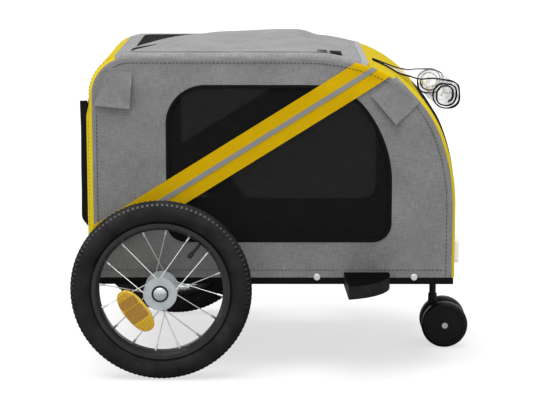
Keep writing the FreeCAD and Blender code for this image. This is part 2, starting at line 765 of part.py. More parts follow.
def rear_pocket():
    """Flat bag on the door, open at its mouth, with a rounded foot."""
    outer_x = REAR_X - POCKET_DEPTH
    half = POCKET_WIDTH / 2
    foot = BASE_Z + POCKET_FOOT
    head = BASE_Z + POCKET_HEAD
    bag = block(outer_x, REAR_X, -half, half, foot, head)
    outer_edges = []
    for edge in bag.Edges:
        middle = edge.CenterOfMass
        if abs(middle.x - outer_x) < TINY and middle.z < head - TINY:
            outer_edges.append(edge)
    bag = bag.makeFillet(POCKET_CORNER_RADIUS, outer_edges)
    wall = (POCKET_DEPTH - POCKET_MOUTH) / 2
    inside = block(outer_x + wall, REAR_X - wall, wall - half, half - wall, foot + wall, head + OVERRUN)
    return bag.cut(rounded(inside, wall, ALONG_Z))


def lens_block(x0, x1, rise, height):
    half = LENS_WIDTH / 2
    middle = BASE_Z + rise
    lens = block(x0, x1, -LENS_OFFSET - half, half - LENS_OFFSET, middle - height / 2,
                 middle + height / 2)
    return both(rounded(lens, LENS_CORNER_RADIUS, ALONG_X))


def front_reflectors():
    return lens_block(FRONT_X + SEAT, FRONT_X + SEAT + LENS, FRONT_LENS_RISE, FRONT_LENS_HEIGHT)


def rear_reflectors():
    return lens_block(REAR_X - SEAT - LENS, REAR_X - SEAT, REAR_LENS_RISE, REAR_LENS_HEIGHT)


def cover_outline():
    """Section of the rain cover: a flap off the brow that winds into a roll of half circles."""
    brow_centre = brow_centres(FRONT_X, ROOF_Z, BROW_RADII, BROW_TURNS)[1]
    start = brow_centre + polar(BROW_RADIUS + SEAT + COVER / 2, COVER_ANGLE)
    first_angle = 90.0 - COVER_SLOPE
    along = polar(1, -COVER_SLOPE)
    across = polar(COVER / 2, first_angle)
    touch = start + along * COVER_RUN
    outer = [Part.makeLine(start + across, touch + across)]
    inner = [Part.makeLine(start - across, touch - across)]
    centre = touch - polar(ROLL_RADIUS, first_angle)
    radius = ROLL_RADIUS
    angle = first_angle
    for turn in range(ROLL_HALF_TURNS):
        outer.append(arc_edge(centre, radius + COVER / 2, angle, angle - 180))
        inner.append(arc_edge(centre, radius - COVER / 2, angle, angle - 180))
        angle -= 180
        centre = centre + polar(ROLL_LAYER / 2, angle)
        radius -= ROLL_LAYER / 2
    inner_end = inner[-1].Vertexes[-1].Point
    outer_end = outer[-1].Vertexes[-1].Point
    ends = [Part.makeLine(outer_end, inner_end), Part.makeLine(start - across, start + across)]
    return Part.Wire(outer + ends[:1] + inner[::-1] + ends[1:])


def rain_cover():
    return plate(cover_outline(), -COVER_WIDTH / 2, COVER_WIDTH / 2)


def rain_cover_binding():
    edge = -COVER_WIDTH / 2
    return both(plate(cover_outline(), edge - BINDING_WIDTH, edge))


# Main wheel, modelled about its own centre with its outer face towards -Y

def tyre_side(depth):
    """Edges of the tyre's section from one bead over the tread to the other, set in by depth."""
    seat = RIM_SEAT_DIAMETER / 2
    neck = seat + RIM_FLANGE + SEAT
    bead = RIM_WIDTH / 2 - RIM_WALL - SEAT - depth
    flank = TYRE_WIDTH / 2 - depth
    flank_r = (neck + WHEEL_RADIUS) / 2
    shoulder = SHOULDER_WIDTH / 2 - depth
    shoulder_r = WHEEL_RADIUS - SHOULDER_DROP - depth
    first = Part.Arc(point(neck, -bead, 0), point(flank_r, -flank, 0),
                     point(shoulder_r, -shoulder, 0)).toShape()
    tread = Part.Arc(point(shoulder_r, -shoulder, 0), point(WHEEL_RADIUS - depth, 0, 0),
                     point(shoulder_r, shoulder, 0)).toShape()
    second = Part.Arc(point(shoulder_r, shoulder, 0), point(flank_r, flank, 0),
                      point(neck, bead, 0)).toShape()
    return [Part.makeLine(point(seat, -bead, 0), point(neck, -bead, 0)), first, tread, second,
            Part.makeLine(point(neck, bead, 0), point(seat, bead, 0))]


def tyre():
    """Hollow tyre with two grooves round its tread."""
    outer = tyre_side(0)
    inner = tyre_side(TYRE_WALL)
    ends = [Part.makeLine(outer[-1].Vertexes[-1].Point, inner[-1].Vertexes[-1].Point),
            Part.makeLine(inner[0].Vertexes[0].Point, outer[0].Vertexes[0].Point)]
    face = Part.Face(Part.Wire(outer + ends[:1] + inner[::-1] + ends[1:]))
    body = face.revolve(ORIGIN, ALONG_Y, 360)
    grooves = []
    for side in (-1, 1):
        middle = side * GROOVE_OFFSET
        low = WHEEL_RADIUS - GROOVE_DEPTH
        high = WHEEL_RADIUS + OVERRUN
        grooves.append(turned([(low, middle - GROOVE_WIDTH / 2), (high, middle - GROOVE_WIDTH / 2),
                               (high, middle + GROOVE_WIDTH / 2), (low, middle + GROOVE_WIDTH / 2)]))
    return body.cut(grooves)


def rim():
    """Dropped-centre rim with a flange at each side."""
    half = RIM_WIDTH / 2
    bed = RIM_SEAT_DIAMETER / 2 - SEAT
    tip = RIM_SEAT_DIAMETER / 2 + RIM_FLANGE
    inner = RIM_INNER_DIAMETER / 2
    well = RIM_WELL_WIDTH / 2
    shelf = half - RIM_WALL - RIM_SHELF
    upper = [(tip, -half), (tip, RIM_WALL - half), (bed, RIM_WALL - half), (bed, -shelf),
             (inner + RIM_WALL, -well)]
    lower = [(inner, -well - RIM_WALL), (bed - RIM_WALL, -half)]
    far_upper = [(r, -y) for r, y in reversed(upper)]
    far_lower = [(r, -y) for r, y in reversed(lower)]
    return turned(upper + far_upper + far_lower + lower)


def hub():
    """Turned hub with a spoke flange at each end, bearing seats and a cup for the axle's head."""
    end = HUB_END_DIAMETER / 2
    waist = HUB_WAIST_DIAMETER / 2
    edge = FLANGE_DIAMETER / 2
    seat = BEARING_DIAMETER / 2
    bore = AXLE_RADIUS + FLANGE
    cup = AXLE_HEAD_DIAMETER / 2 + SPIN_CLEARANCE
    outer_seat = HUB_CUP - HUB_OUT
    inner_flange = HUB_IN - HUB_NOSE
    barrel = BEARING_WIDTH + FLANGE
    return turned([(cup, -HUB_OUT), (edge, -HUB_OUT), (edge, FLANGE - HUB_OUT),
                   (end, FLANGE - HUB_OUT), (end, outer_seat + barrel), (waist, outer_seat + barrel + FLANGE),
                   (waist, inner_flange - barrel - FLANGE), (end, inner_flange - barrel),
                   (end, inner_flange - FLANGE), (edge, inner_flange - FLANGE), (edge, inner_flange),
                   (end, inner_flange), (end, HUB_IN), (seat, HUB_IN), (seat, HUB_IN - BEARING_WIDTH),
                   (bore, HUB_IN - BEARING_WIDTH), (bore, outer_seat + BEARING_WIDTH),
                   (seat, outer_seat + BEARING_WIDTH), (seat, outer_seat), (cup, outer_seat)])


def bearings():
    outer = BEARING_DIAMETER / 2 - RUNNING_GAP
    inner = AXLE_RADIUS + RUNNING_GAP
    rings = []
    for y in (HUB_CUP - HUB_OUT, HUB_IN - BEARING_WIDTH):
        rings.append(turned([(inner, y), (outer, y), (outer, y + BEARING_WIDTH), (inner, y + BEARING_WIDTH)]))
    return Part.makeCompound(rings)


def spokes():
    """Laced spokes with nipples: each group of four leans near, far, far and near."""
    flanges = (FLANGE / 2 - HUB_OUT, HUB_IN - HUB_NOSE - FLANGE / 2)
    pattern = ((0, 1), (1, 1), (1, -1), (0, -1))
    rim_r = RIM_INNER_DIAMETER / 2 + SPOKE_SINK
    wires = []
    for index in range(SPOKES):
        flange, lean = pattern[index % len(pattern)]
        rim_angle = SPOKE_FIRST_ANGLE + 360.0 * index / SPOKES
        foot = polar(SPOKE_RING / 2, rim_angle + lean * SPOKE_SWEEP) + point(0, flanges[flange], 0)
        head = polar(rim_r, rim_angle)
        along = head - foot
        wire = Part.makeCylinder(SPOKE_DIAMETER / 2, along.Length, foot, along)
        along.normalize()
        nipple = Part.makeCylinder(NIPPLE_DIAMETER / 2, NIPPLE_LENGTH, head - along * NIPPLE_LENGTH, along)
        wires.append(wire.fuse(nipple))
    return Part.makeCompound(wires)


def valve():
    """Valve stem and cap that point at the hub."""
    seat = polar(RIM_INNER_DIAMETER / 2 - WELD_GAP, VALVE_ANGLE)
    inwards = polar(-1, VALVE_ANGLE)
    stem = Part.makeCylinder(VALVE_DIAMETER / 2, VALVE_LENGTH, seat, inwards)
    cap = Part.makeCylinder(VALVE_CAP_DIAMETER / 2, VALVE_CAP_LENGTH, seat + inwards * VALVE_LENGTH, inwards)
    return stem.fuse(cap)


def spoke_reflector():
    """Oblong reflector between the spokes, with a rib across its middle and two sunk panels a side."""
    length = GLINT_LENGTH / 2
    height = GLINT_HEIGHT / 2
    body = rounded(block(-length, length, -GLINT / 2, GLINT / 2, -height, height),
                   GLINT_CORNER_RADIUS, ALONG_Y)
    panels = []
    for side in (-1, 1):
        ends = sorted((side * GLINT_RIB / 2, side * (length - GLINT_BORDER)))
        for face in (-1, 1):
            sunk = sorted((face * (GLINT / 2 - GLINT_RECESS), face * (GLINT / 2 + OVERRUN)))
            panels.append(block(ends[0], ends[1], sunk[0], sunk[1], GLINT_BORDER - height,
                                height - GLINT_BORDER))
    body = body.cut(panels)
    body.rotate(ORIGIN, ALONG_Y, 90 - GLINT_ANGLE)
    body.translate(polar(GLINT_RADIUS, GLINT_ANGLE) + point(0, GLINT_OFFSET, 0))
    return body


def axle_head_y():
    """Outer face of the axle's head, seated on the outer bearing."""
    return HUB_CUP - HUB_OUT - SEAT - AXLE_HEAD


def axle():
    """Plug-in axle with a flat head, bored for the release plunger."""
    head_y = axle_head_y()
    head = rod_y(AXLE_HEAD_DIAMETER / 2, 0, head_y, head_y + AXLE_HEAD, 0)
    pin = rod_y(AXLE_RADIUS, 0, head_y, HUB_IN + SEAT + AXLE_PLUG, 0)
    bore = rod_y(PLUNGER_DIAMETER / 2, 0, head_y - OVERRUN,
                 head_y + PLUNGER_LENGTH + BUTTON_TRAVEL + OVERRUN, 0)
    tail = [edge for edge in pin.Edges
            if edge.CenterOfMass.y > HUB_IN + AXLE_PLUG - OVERRUN and len(edge.Vertexes) == 1]
    return head.fuse(pin.makeChamfer(AXLE_RADIUS / 4, tail)).cut(bore)


def release_seal():
    inner = BUTTON_DIAMETER / 2 + RUNNING_GAP
    outer = AXLE_HEAD_DIAMETER / 2
    head_y = axle_head_y()
    return turned([(inner, head_y), (outer, head_y), (outer, head_y - SEAL_HEIGHT),
                   (inner, head_y - SEAL_HEIGHT)])


def release_button():
    """Domed push button on the plunger that frees the axle."""
    foot = axle_head_y() - BUTTON_TRAVEL - SEAT
    radius = BUTTON_DIAMETER / 2
    crown = foot - BUTTON_SKIRT - BUTTON_DOME
    ball = (radius ** 2 + BUTTON_DOME ** 2) / (2 * BUTTON_DOME)
    dome = Part.makeSphere(ball, point(0, crown + ball, 0))
    cap = rod_y(radius, 0, crown, foot, 0).common(dome)
    return cap.fuse(rod_y(PLUNGER_DIAMETER / 2 - RUNNING_GAP, 0, foot, foot + PLUNGER_LENGTH, 0))


def on_axle(shape):
    """A wheel piece moved from its own centre to the right-hand end of the axle."""
    placed = shape.copy()
    placed.translate(point(AXLE_X, WHEEL_Y, AXLE_Z))
    return placed


# Caster

def caster_wheel():
    """Right-hand disc with a rounded tread, a dished outer face and a hub."""
    outer = -CASTER_WIDTH / 2
    inner = outer + CASTER_WHEEL_WIDTH
    bore = CASTER_AXLE_DIAMETER / 2 + RUNNING_GAP
    dish = CASTER_RADIUS * CASTER_DISH_SHARE
    hub_r = CASTER_HUB_DIAMETER / 2
    disc = turned([(bore, inner), (CASTER_RADIUS, inner), (CASTER_RADIUS, outer), (dish, outer),
                   (dish - CASTER_DISH / 2, outer + CASTER_DISH), (hub_r, outer + CASTER_DISH),
                   (hub_r, outer), (bore, outer)])
    rims = [edge for edge in disc.Edges
            if abs(edge.BoundBox.XLength - CASTER_DIAMETER) < TINY * CASTER_DIAMETER
            and edge.BoundBox.YLength < TINY]
    disc = disc.makeFillet(CASTER_RADIUS * CASTER_TREAD_SHARE, rims)
    disc.translate(point(CASTER_X, 0, CASTER_Z))
    return disc


def caster_fork():
    """Arm between the discs, from the swivel boss down to the axle eye."""
    half = CASTER_WIDTH / 2 - CASTER_WHEEL_WIDTH - SPIN_CLEARANCE
    eye_r = FORK_EYE_DIAMETER / 2
    boss_r = FORK_BOSS_DIAMETER / 2
    eye = rod_y(eye_r, CASTER_X, -half, half, CASTER_Z)
    arm = plate(polygon([point(CASTER_X - eye_r, 0, CASTER_Z), point(CASTER_X + eye_r, 0, CASTER_Z),
                         point(STEM_X + boss_r, 0, FORK_FOOT_Z), point(STEM_X - boss_r, 0, FORK_FOOT_Z)]),
                -boss_r, boss_r)
    boss = rod_z(boss_r, STEM_X, 0, FORK_FOOT_Z, FORK_TOP_Z)
    axle_hole = rod_y(CASTER_AXLE_DIAMETER / 2 + RUNNING_GAP, CASTER_X, -half - OVERRUN, half + OVERRUN,
                      CASTER_Z)
    stem_hole = rod_z(STEM_DIAMETER / 2 + RUNNING_GAP, STEM_X, 0, FORK_FOOT_Z, FORK_TOP_Z + OVERRUN)
    return eye.fuse([arm, boss]).cut([axle_hole, stem_hole])


def caster_stem():
    """Swivel stem with the collar that the socket rests on."""
    stem = rod_z(STEM_DIAMETER / 2, STEM_X, 0, FORK_FOOT_Z, BASE_Z - SOCKET_PLATE - SEAT)
    collar = rod_z(STEM_COLLAR_DIAMETER / 2, STEM_X, 0, SLEEVE_FOOT_Z - SEAT - STEM_COLLAR,
                   SLEEVE_FOOT_Z - SEAT)
    return stem.fuse(collar)


def caster_axle():
    """Axle through both discs, with a cap at each end."""
    half = CASTER_WIDTH / 2 + SEAT
    pin = rod_y(CASTER_AXLE_DIAMETER / 2, CASTER_X, -half, half, CASTER_Z)
    caps = [rod_y(CASTER_CAP_DIAMETER / 2, CASTER_X, y, y + CASTER_CAP, CASTER_Z)
            for y in (-half - CASTER_CAP, half)]
    return pin.fuse(caps)


# Export

def save_frame():
    save_pair("base_rail", base_rail())
    save("base_cross_tubes", base_cross_tubes())
    save_pair("hoop", hoop())
    save("top_cross_tubes", top_cross_tubes())
    save("floor_board", floor_board())
    save("axle_tube", axle_tube())
    save("axle_bolts", axle_bolts())
    save("caster_socket", caster_socket())
    save("drawbar_socket", drawbar_socket())
    save("rail_screws", rail_screws())
    save_pair("wheel_deflector", wheel_deflector())


def save_cover():
    skin = cabin_layer(0, FABRIC)
    rear, roof, front = cover_pieces(skin)
    save_pair("side_panel", side_panel(skin))
    save_pair("window_mesh", window_mesh())
    save_pair("side_strap", side_strap())
    save("reflective_stripes", reflective_stripes())
    save("corner_patches", corner_patches())
    save("rear_border", rear)
    save("roof_panel", roof)
    save("front_border", front)
    save("roof_mesh", roof_mesh())
    save("roof_flap", roof_flap())
    save("front_screen", front_screen())
    save("rear_door", rear_door(skin))
    save("rear_pocket", rear_pocket())
    save("front_reflectors", front_reflectors())
    save("rear_reflectors", rear_reflectors())
    save("rain_cover", rain_cover())
    save("rain_cover_binding", rain_cover_binding())


def save_wheels():
    for make in (tyre, rim, hub, bearings, spokes, valve, spoke_reflector, axle, release_seal,
                 release_button):
        save_pair(make.__name__, on_axle(make()))


def save_caster():
    save_pair("caster_wheel", caster_wheel())
    save("caster_fork", caster_fork())
    save("caster_stem", caster_stem())
    save("caster_axle", caster_axle())


os.makedirs("parts", exist_ok=True)
save_frame()
save_cover()
save_wheels()
save_caster()
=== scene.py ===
import logging
import math
from bisect import bisect_left
from dataclasses import dataclass
from enum import Enum
from typing import Callable, Iterable, Sequence

import bmesh
import bpy
from mathutils import Matrix, Vector, noise
from mathutils.geometry import interpolate_bezier


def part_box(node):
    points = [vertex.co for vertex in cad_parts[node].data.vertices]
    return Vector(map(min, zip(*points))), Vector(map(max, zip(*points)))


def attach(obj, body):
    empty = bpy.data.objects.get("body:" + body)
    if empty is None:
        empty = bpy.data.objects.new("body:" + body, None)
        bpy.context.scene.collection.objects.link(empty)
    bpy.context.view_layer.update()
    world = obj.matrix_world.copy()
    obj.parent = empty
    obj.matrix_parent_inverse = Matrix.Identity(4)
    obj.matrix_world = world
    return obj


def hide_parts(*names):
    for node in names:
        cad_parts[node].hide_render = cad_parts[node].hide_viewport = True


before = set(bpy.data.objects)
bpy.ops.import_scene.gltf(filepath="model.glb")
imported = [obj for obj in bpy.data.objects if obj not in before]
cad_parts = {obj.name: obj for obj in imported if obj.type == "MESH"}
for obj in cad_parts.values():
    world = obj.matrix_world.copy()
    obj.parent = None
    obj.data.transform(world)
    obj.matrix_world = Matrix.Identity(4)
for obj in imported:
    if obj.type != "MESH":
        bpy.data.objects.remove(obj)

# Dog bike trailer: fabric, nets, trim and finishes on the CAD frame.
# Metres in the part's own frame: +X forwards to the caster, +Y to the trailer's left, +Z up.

log = logging.getLogger("trailer")

Flat = tuple[float, float]
Triple = tuple[float, float, float]
Counts = tuple[int, int]
# A Path gives the point in space at a distance along a seam, and a Place the one for a point of a flat cut.
Path = Callable[[float], Vector]
Place = Callable[[float, float], Vector]
Thing = bpy.types.Object
Node = bpy.types.Node
Tree = bpy.types.NodeTree
Outputs = bpy.types.NodeOutputs
Socket = bpy.types.NodeSocket
Sockets = dict[str | int, object]
Given = dict[str, Socket]
QUARTER = math.pi / 2
TURN = 2 * math.pi
HOOPS = ("hoop_right", "hoop_left")
# Floors for a sheet's width, and for how much of its rectangle it fills.
NARROWEST = 0.011
LEAST_AREA = 0.31
# Corners closer than this are one.
WELD = 0.00005
# Limits of the searches and crossings on outlines.
TINY = 1e-12
NEARLY = 1e-9
HALVINGS = 40
THIRDINGS = 24
# Points of a quarter circle, and how near a ray may come to a sharp corner, in shares of their spacing.
ARC_POINTS = 9
NEAR_CORNER = 0.4


class Side(Enum):
    """The two sides of the trailer, by the sign of Y."""

    RIGHT = -1
    LEFT = 1

    @property
    def tail(self) -> str:
        """End of this side's node and piece names."""
        return "_right" if self is Side.RIGHT else "_left"


class Hold(Enum):
    STRETCHED = "stretched"
    LAID = "laid"
    HUNG = "hung"
    FOLDED = "folded"


# Node trees

# A Mix node's colour inputs and output; they share their names with those for plain numbers.
MIX_INPUTS = (6, 7)
MIX_OUTPUT = 2


class Bench:
    """A node tree with short calls that add and join its nodes."""

    def __init__(self, tree: Tree) -> None:
        """Starts on an emptied tree."""
        self.tree = tree
        tree.nodes.clear()

    def fill(self, node: Node, sockets: Sockets) -> Node:
        """Fills a node's inputs.

        Args:
            node: The node.
            sockets: A value or another node's output for each input, by name or number.

        Returns:
            The node.
        """
        for key, value in sockets.items():
            if isinstance(value, Socket):
                self.tree.links.new(value, node.inputs[key])
            else:
                node.inputs[key].default_value = value
        return node

    def add(self, kind: str, sockets: Sockets | None = None, **settings: object) -> Node:
        """Adds one shader node.

        Args:
            kind: The node's type, without the ShaderNode in front.
            sockets: Values or output sockets for its inputs.
            settings: The node's own properties.

        Returns:
            The new node.
        """
        node = self.tree.nodes.new("ShaderNode" + kind)
        for key, value in settings.items():
            setattr(node, key, value)
        return self.fill(node, sockets or {})

    def group(self, tree: Tree, **sockets: object) -> Outputs:
        """Outputs of a node that uses a node group."""
        return self.add("Group", sockets, node_tree=tree).outputs

    def math(self, operation: str, first: object, second: object = 0.0) -> Socket:
        """The result of one Math node."""
        return self.add("Math", {0: first, 1: second}, operation=operation).outputs[0]

    def scaled(self, vector: Socket, factors: Triple) -> Socket:
        """A vector times three plain factors."""
        return self.add("VectorMath", {0: vector, 1: factors}, operation="MULTIPLY").outputs[0]

    def axes(self, vector: Socket) -> Outputs:
        """A vector's three parts."""
        return self.add("SeparateXYZ", {0: vector}).outputs

    def noise(self, vector: Socket, **sockets: object) -> Socket:
        """A cloudy noise over a vector."""
        return self.add("TexNoise", {"Vector": vector, **sockets}).outputs[0]

    def mix(self, share: Socket, first: object, second: object) -> Socket:
        """Two colours mixed by a share."""
        sockets = {0: share, MIX_INPUTS[0]: first, MIX_INPUTS[1]: second}
        return self.add("Mix", sockets, data_type="RGBA").outputs[MIX_OUTPUT]

    def range(self, value: Socket, span: Flat, low: float = 0.0, high: float = 1.0) -> Socket:
        """A value carried from a span to the range from low to high, and kept inside it."""
        return self.add("MapRange", {0: value, 1: span[0], 2: span[1], 3: low, 4: high}).outputs[0]

    def flat(self) -> Socket:
        """The place on a sheet's flat cut."""
        return self.add("UVMap", uv_map="cloth").outputs[0]

    def place(self) -> Socket:
        """The place in the object's own frame."""
        return self.add("TexCoord").outputs["Object"]


def effect(name: str, inputs: dict[str, float | None], outputs: Sequence[str],
           wire: Callable[[Bench, Given], Given]) -> Tree:
    """Makes a shader node group once.

    Args:
        name: The group's name.
        inputs: Input names with their first values, None for a vector.
        outputs: Output names.
        wire: Builds the nodes and gives the socket of each output.

    Returns:
        The group's node tree.
    """
    found = bpy.data.node_groups.get(name)
    if found:
        return found
    tree = bpy.data.node_groups.new(name, "ShaderNodeTree")
    bench = Bench(tree)
    for key, value in inputs.items():
        kind = "NodeSocketVector" if value is None else "NodeSocketFloat"
        socket = tree.interface.new_socket(key, in_out="INPUT", socket_type=kind)
        if value is not None:
            socket.default_value = value
    for key in outputs:
        tree.interface.new_socket(key, in_out="OUTPUT", socket_type="NodeSocketFloat")
    start = tree.nodes.new("NodeGroupInput")
    end = tree.nodes.new("NodeGroupOutput")
    made = wire(bench, {key: start.outputs[key] for key in inputs})
    for key in outputs:
        tree.links.new(made[key], end.inputs[key])
    return tree


def yarns(bench: Bench, given: Given) -> Socket:
    """A place on the flat cut, counted in yarns."""
    scale = bench.math("DIVIDE", 1.0, given["Pitch"])
    return bench.add("VectorMath", {0: given["Vector"], 3: scale}, operation="SCALE").outputs[0]


def weave_effect() -> Tree:
    """Plain weave with slubs: raised crossings and streaks along both yarns.

    Returns:
        The group's node tree.
    """

    fine, long = 0.9, 0.06

    def wire(bench: Bench, given: Given) -> Given:
        """Crossed sine waves and two streaked noises.

        Args:
            bench: The group's nodes.
            given: The group's inputs.

        Returns:
            The socket of each output.
        """
        over = yarns(bench, given)
        axes = bench.axes(over)
        waves = [bench.math("SINE", bench.math("MULTIPLY", axes[n], math.pi)) for n in (0, 1)]
        streaks = [bench.noise(bench.scaled(over, stretch), Scale=1.0, Detail=2.0, Roughness=0.6)
                   for stretch in ((fine, long, 1.0), (long, fine, 1.0))]
        slub = bench.math("MULTIPLY", bench.math("ADD", *streaks), 0.5)
        return {"Height": bench.math("ADD", bench.math("MULTIPLY", *waves), slub), "Slub": slub}

    return effect("woven_slub", {"Vector": None, "Pitch": 0.0012}, ("Height", "Slub"), wire)


def net_effect() -> Tree:
    """Open net: threads two ways with square holes between them.

    Returns:
        The group's node tree.
    """

    def wire(bench: Bench, given: Given) -> Given:
        """Thread masks from the fractions of both coordinates.

        Args:
            bench: The group's nodes.
            given: The group's inputs.

        Returns:
            The socket of each output.
        """
        axes = bench.axes(yarns(bench, given))
        threads = [bench.math("LESS_THAN", bench.math("FRACT", axes[n]), given["Thread"]) for n in (0, 1)]
        return {"Cover": bench.math("MAXIMUM", *threads)}

    return effect("open_net", {"Vector": None, "Pitch": 0.0015, "Thread": 0.68}, ("Cover",), wire)


def grain_effect() -> Tree:
    """Fine grain for height and a slow cloud for shade, for mouldings, paint and metal.

    Returns:
        The group's node tree.
    """

    def wire(bench: Bench, given: Given) -> Given:
        """A fine noise and a coarse one."""
        return {"Height": bench.noise(given["Vector"], Scale=given["Fine"], Detail=3.0),
                "Shade": bench.noise(given["Vector"], Scale=given["Slow"], Detail=4.0)}

    return effect("grain_and_shade", {"Vector": None, "Fine": 1500.0, "Slow": 30.0}, ("Height", "Shade"), wire)


# Finishes

# How far up a surface looks, from side on to topside, for the painted light and painted shade on top faces.
UPWARD = (0.4, 0.9)


@dataclass(frozen=True)
class Finish:
    """A surface's name, colour and gloss, and the name of a frame slot."""

    name: str
    colour: Triple
    roughness: float
    slot: str = ""

    def material(self) -> bpy.types.Material:
        """Makes the finish's material the first time that it is asked for.

        Returns:
            The material.
        """
        found = bpy.data.materials.get(self.name)
        if found:
            return found
        made = bpy.data.materials.new(self.name)
        made.use_nodes = True
        bench = Bench(made.node_tree)
        shader = bench.add("BsdfPrincipled", {"Base Color": self.tint(1.0), "Roughness": self.roughness})
        bench.add("OutputMaterial", {0: shader.outputs[0]})
        bench.fill(shader, self.dress(bench))
        return made

    def dress(self, bench: Bench) -> Sockets:
        """This finish's own pattern, by the shader's inputs; each kind of finish has its own."""
        raise NotImplementedError

    def tint(self, factor: float) -> tuple[float, float, float, float]:
        """The colour made lighter or darker by a factor."""
        return (*(min(channel * factor, 1.0) for channel in self.colour), 1.0)

    def bump(self, bench: Bench, height: Socket, depth: float) -> Socket:
        """The normal for a height from 0 to 1 that is so many metres deep."""
        return bench.add("Bump", {"Height": height, "Strength": 1.0, "Distance": depth}).outputs[0]

    def painted_top_mask(self, bench: Bench) -> Socket:
        """A mask that is 1 where the surface looks up, for painted top light and painted top shade."""
        facing = bench.axes(bench.add("NewGeometry").outputs["Normal"])
        return bench.range(facing["Z"], UPWARD)


@dataclass(frozen=True)
class Cloth(Finish):
    """Woven cloth on a flat pattern, with slubs lighter and darker than the ground colour."""

    pitch: float = 0.0012
    light: float = 1.35
    dark: float = 0.68
    depth: float = 0.00025
    shine: float = 0.1
    # Factor for the colour of faces that look up: painted light above 1, painted shade below 1.
    topside: float = 1.0
    patches: float = 0.25
    patch_scale: float = 14.0
    span: Flat = (0.42, 0.84)
    gloss_span: Flat = (0.3, 0.7)

    def dress(self, bench: Bench) -> Sockets:
        """Weave, slubs and slow patches of shade, and a painted tone on top faces: painted shade where the top factor
        is under 1, painted light where it is over 1.

        Args:
            bench: The material's nodes.

        Returns:
            What goes into each of the shader's inputs.
        """
        flat = bench.flat()
        weave = bench.group(weave_effect(), Vector=flat, Pitch=self.pitch)
        cloud = bench.math("MULTIPLY", bench.noise(flat, Scale=self.patch_scale, Detail=3.0), self.patches)
        share = bench.range(bench.math("ADD", weave["Slub"], cloud), self.span)
        woven = bench.mix(share, self.tint(self.dark), self.tint(self.light))
        # Painted light and shade: top faces tinted by the top factor.
        if self.topside != 1:
            above = bench.mix(share, self.tint(self.dark * self.topside), self.tint(self.light * self.topside))
            woven = bench.mix(self.painted_top_mask(bench), woven, above)
        return {"Base Color": woven, "Roughness": bench.range(weave["Slub"], self.gloss_span, self.roughness),
                "Normal": self.bump(bench, weave["Height"], self.depth), "Specular IOR Level": self.shine}


@dataclass(frozen=True)
class Net(Finish):
    """Dark open net that lets a little light through."""

    pitch: float = 0.0012
    thread: float = 0.55
    open: float = 0.6
    turn: float = 0.0
    depth: float = 0.0002
    change: float = 0.3

    def dress(self, bench: Bench) -> Sockets:
        """Threads, holes and a slight change of shade.

        Args:
            bench: The material's nodes.

        Returns:
            What goes into each of the shader's inputs.
        """
        turned = {"Vector": bench.flat(), "Angle": self.turn}
        flat = bench.add("VectorRotate", turned, rotation_type="Z_AXIS").outputs[0]
        cover = bench.group(net_effect(), Vector=flat, Pitch=self.pitch, Thread=self.thread)["Cover"]
        cloud = bench.noise(flat, Scale=60.0, Detail=2.0)
        return {"Alpha": bench.range(cover, (0.0, 1.0), self.open),
                "Base Color": bench.mix(cloud, self.tint(1 - self.change), self.tint(1 + self.change)),
                "Normal": self.bump(bench, cover, self.depth), "Specular IOR Level": 0.08}


@dataclass(frozen=True)
class Vinyl(Finish):
    """Clear soft sheet with creases that catch the light, and painted shade that darkens them."""

    clear: float = 0.24
    cloudy: float = 0.78
    depth: float = 0.004
    # Colour in the creases: painted shade.
    dark: float = 0.4
    drawn: Triple = (1.0, 0.35, 1.0)
    span: Flat = (0.5, 0.72)

    def dress(self, bench: Bench) -> Sockets:
        """Creases in height and cloudiness, with painted shade darkening the colour in them.

        Args:
            bench: The material's nodes.

        Returns:
            What goes into each of the shader's inputs.
        """
        crease = bench.noise(bench.scaled(bench.flat(), self.drawn), Scale=30.0, Detail=2.0, Distortion=1.6)
        sharp = bench.range(crease, self.span)
        # Creases are cloudier, and darker by painted shade.
        return {"Alpha": bench.range(sharp, (0.0, 1.0), self.clear, self.cloudy),
                "Base Color": bench.mix(sharp, self.tint(1.0), self.tint(self.dark)),
                "Normal": self.bump(bench, crease, self.depth), "Coat Weight": 0.5}


@dataclass(frozen=True)
class Moulding(Finish):
    """Moulded plastic, rubber, board, paint or metal, with a fine grain."""

    fine: float = 1400.0
    slow: float = 28.0
    depth: float = 0.00012
    change: float = 0.35
    patchy: float = 0.15
    metallic: float = 0.0
    shine: float = 0.5
    bend: float = 1.5
    # Factor for the colour of faces that look up: painted light above 1, painted shade below 1.
    topside: float = 1.0
    span: Flat = (0.3, 0.7)

    def dress(self, bench: Bench) -> Sockets:
        """Grain, cloudy gloss and a slight change of shade, and a painted tone on top faces: painted shade where the
        top factor is under 1, painted light where it is over 1.

        Args:
            bench: The material's nodes.

        Returns:
            What goes into each of the shader's inputs.
        """
        grain = bench.group(grain_effect(), Vector=bench.place(), Fine=self.fine, Slow=self.slow)
        shade = bench.range(grain["Shade"], self.span)
        colour = bench.mix(shade, self.tint(1.0 - self.change), self.tint(1.0 + self.change))
        # Painted light and shade: top faces tinted by the top factor.
        if self.topside != 1:
            colour = bench.mix(self.painted_top_mask(bench), colour, self.tint(self.topside))
        gloss, dull = self.roughness * (1 - self.patchy), min(self.roughness * (1 + self.patchy), 1.0)
        return {"Base Color": colour, "Roughness": bench.range(grain["Shade"], self.span, gloss, dull),
                "Normal": self.bump(bench, grain["Height"], self.depth), "Metallic": self.metallic,
                "IOR": self.bend, "Specular IOR Level": self.shine}


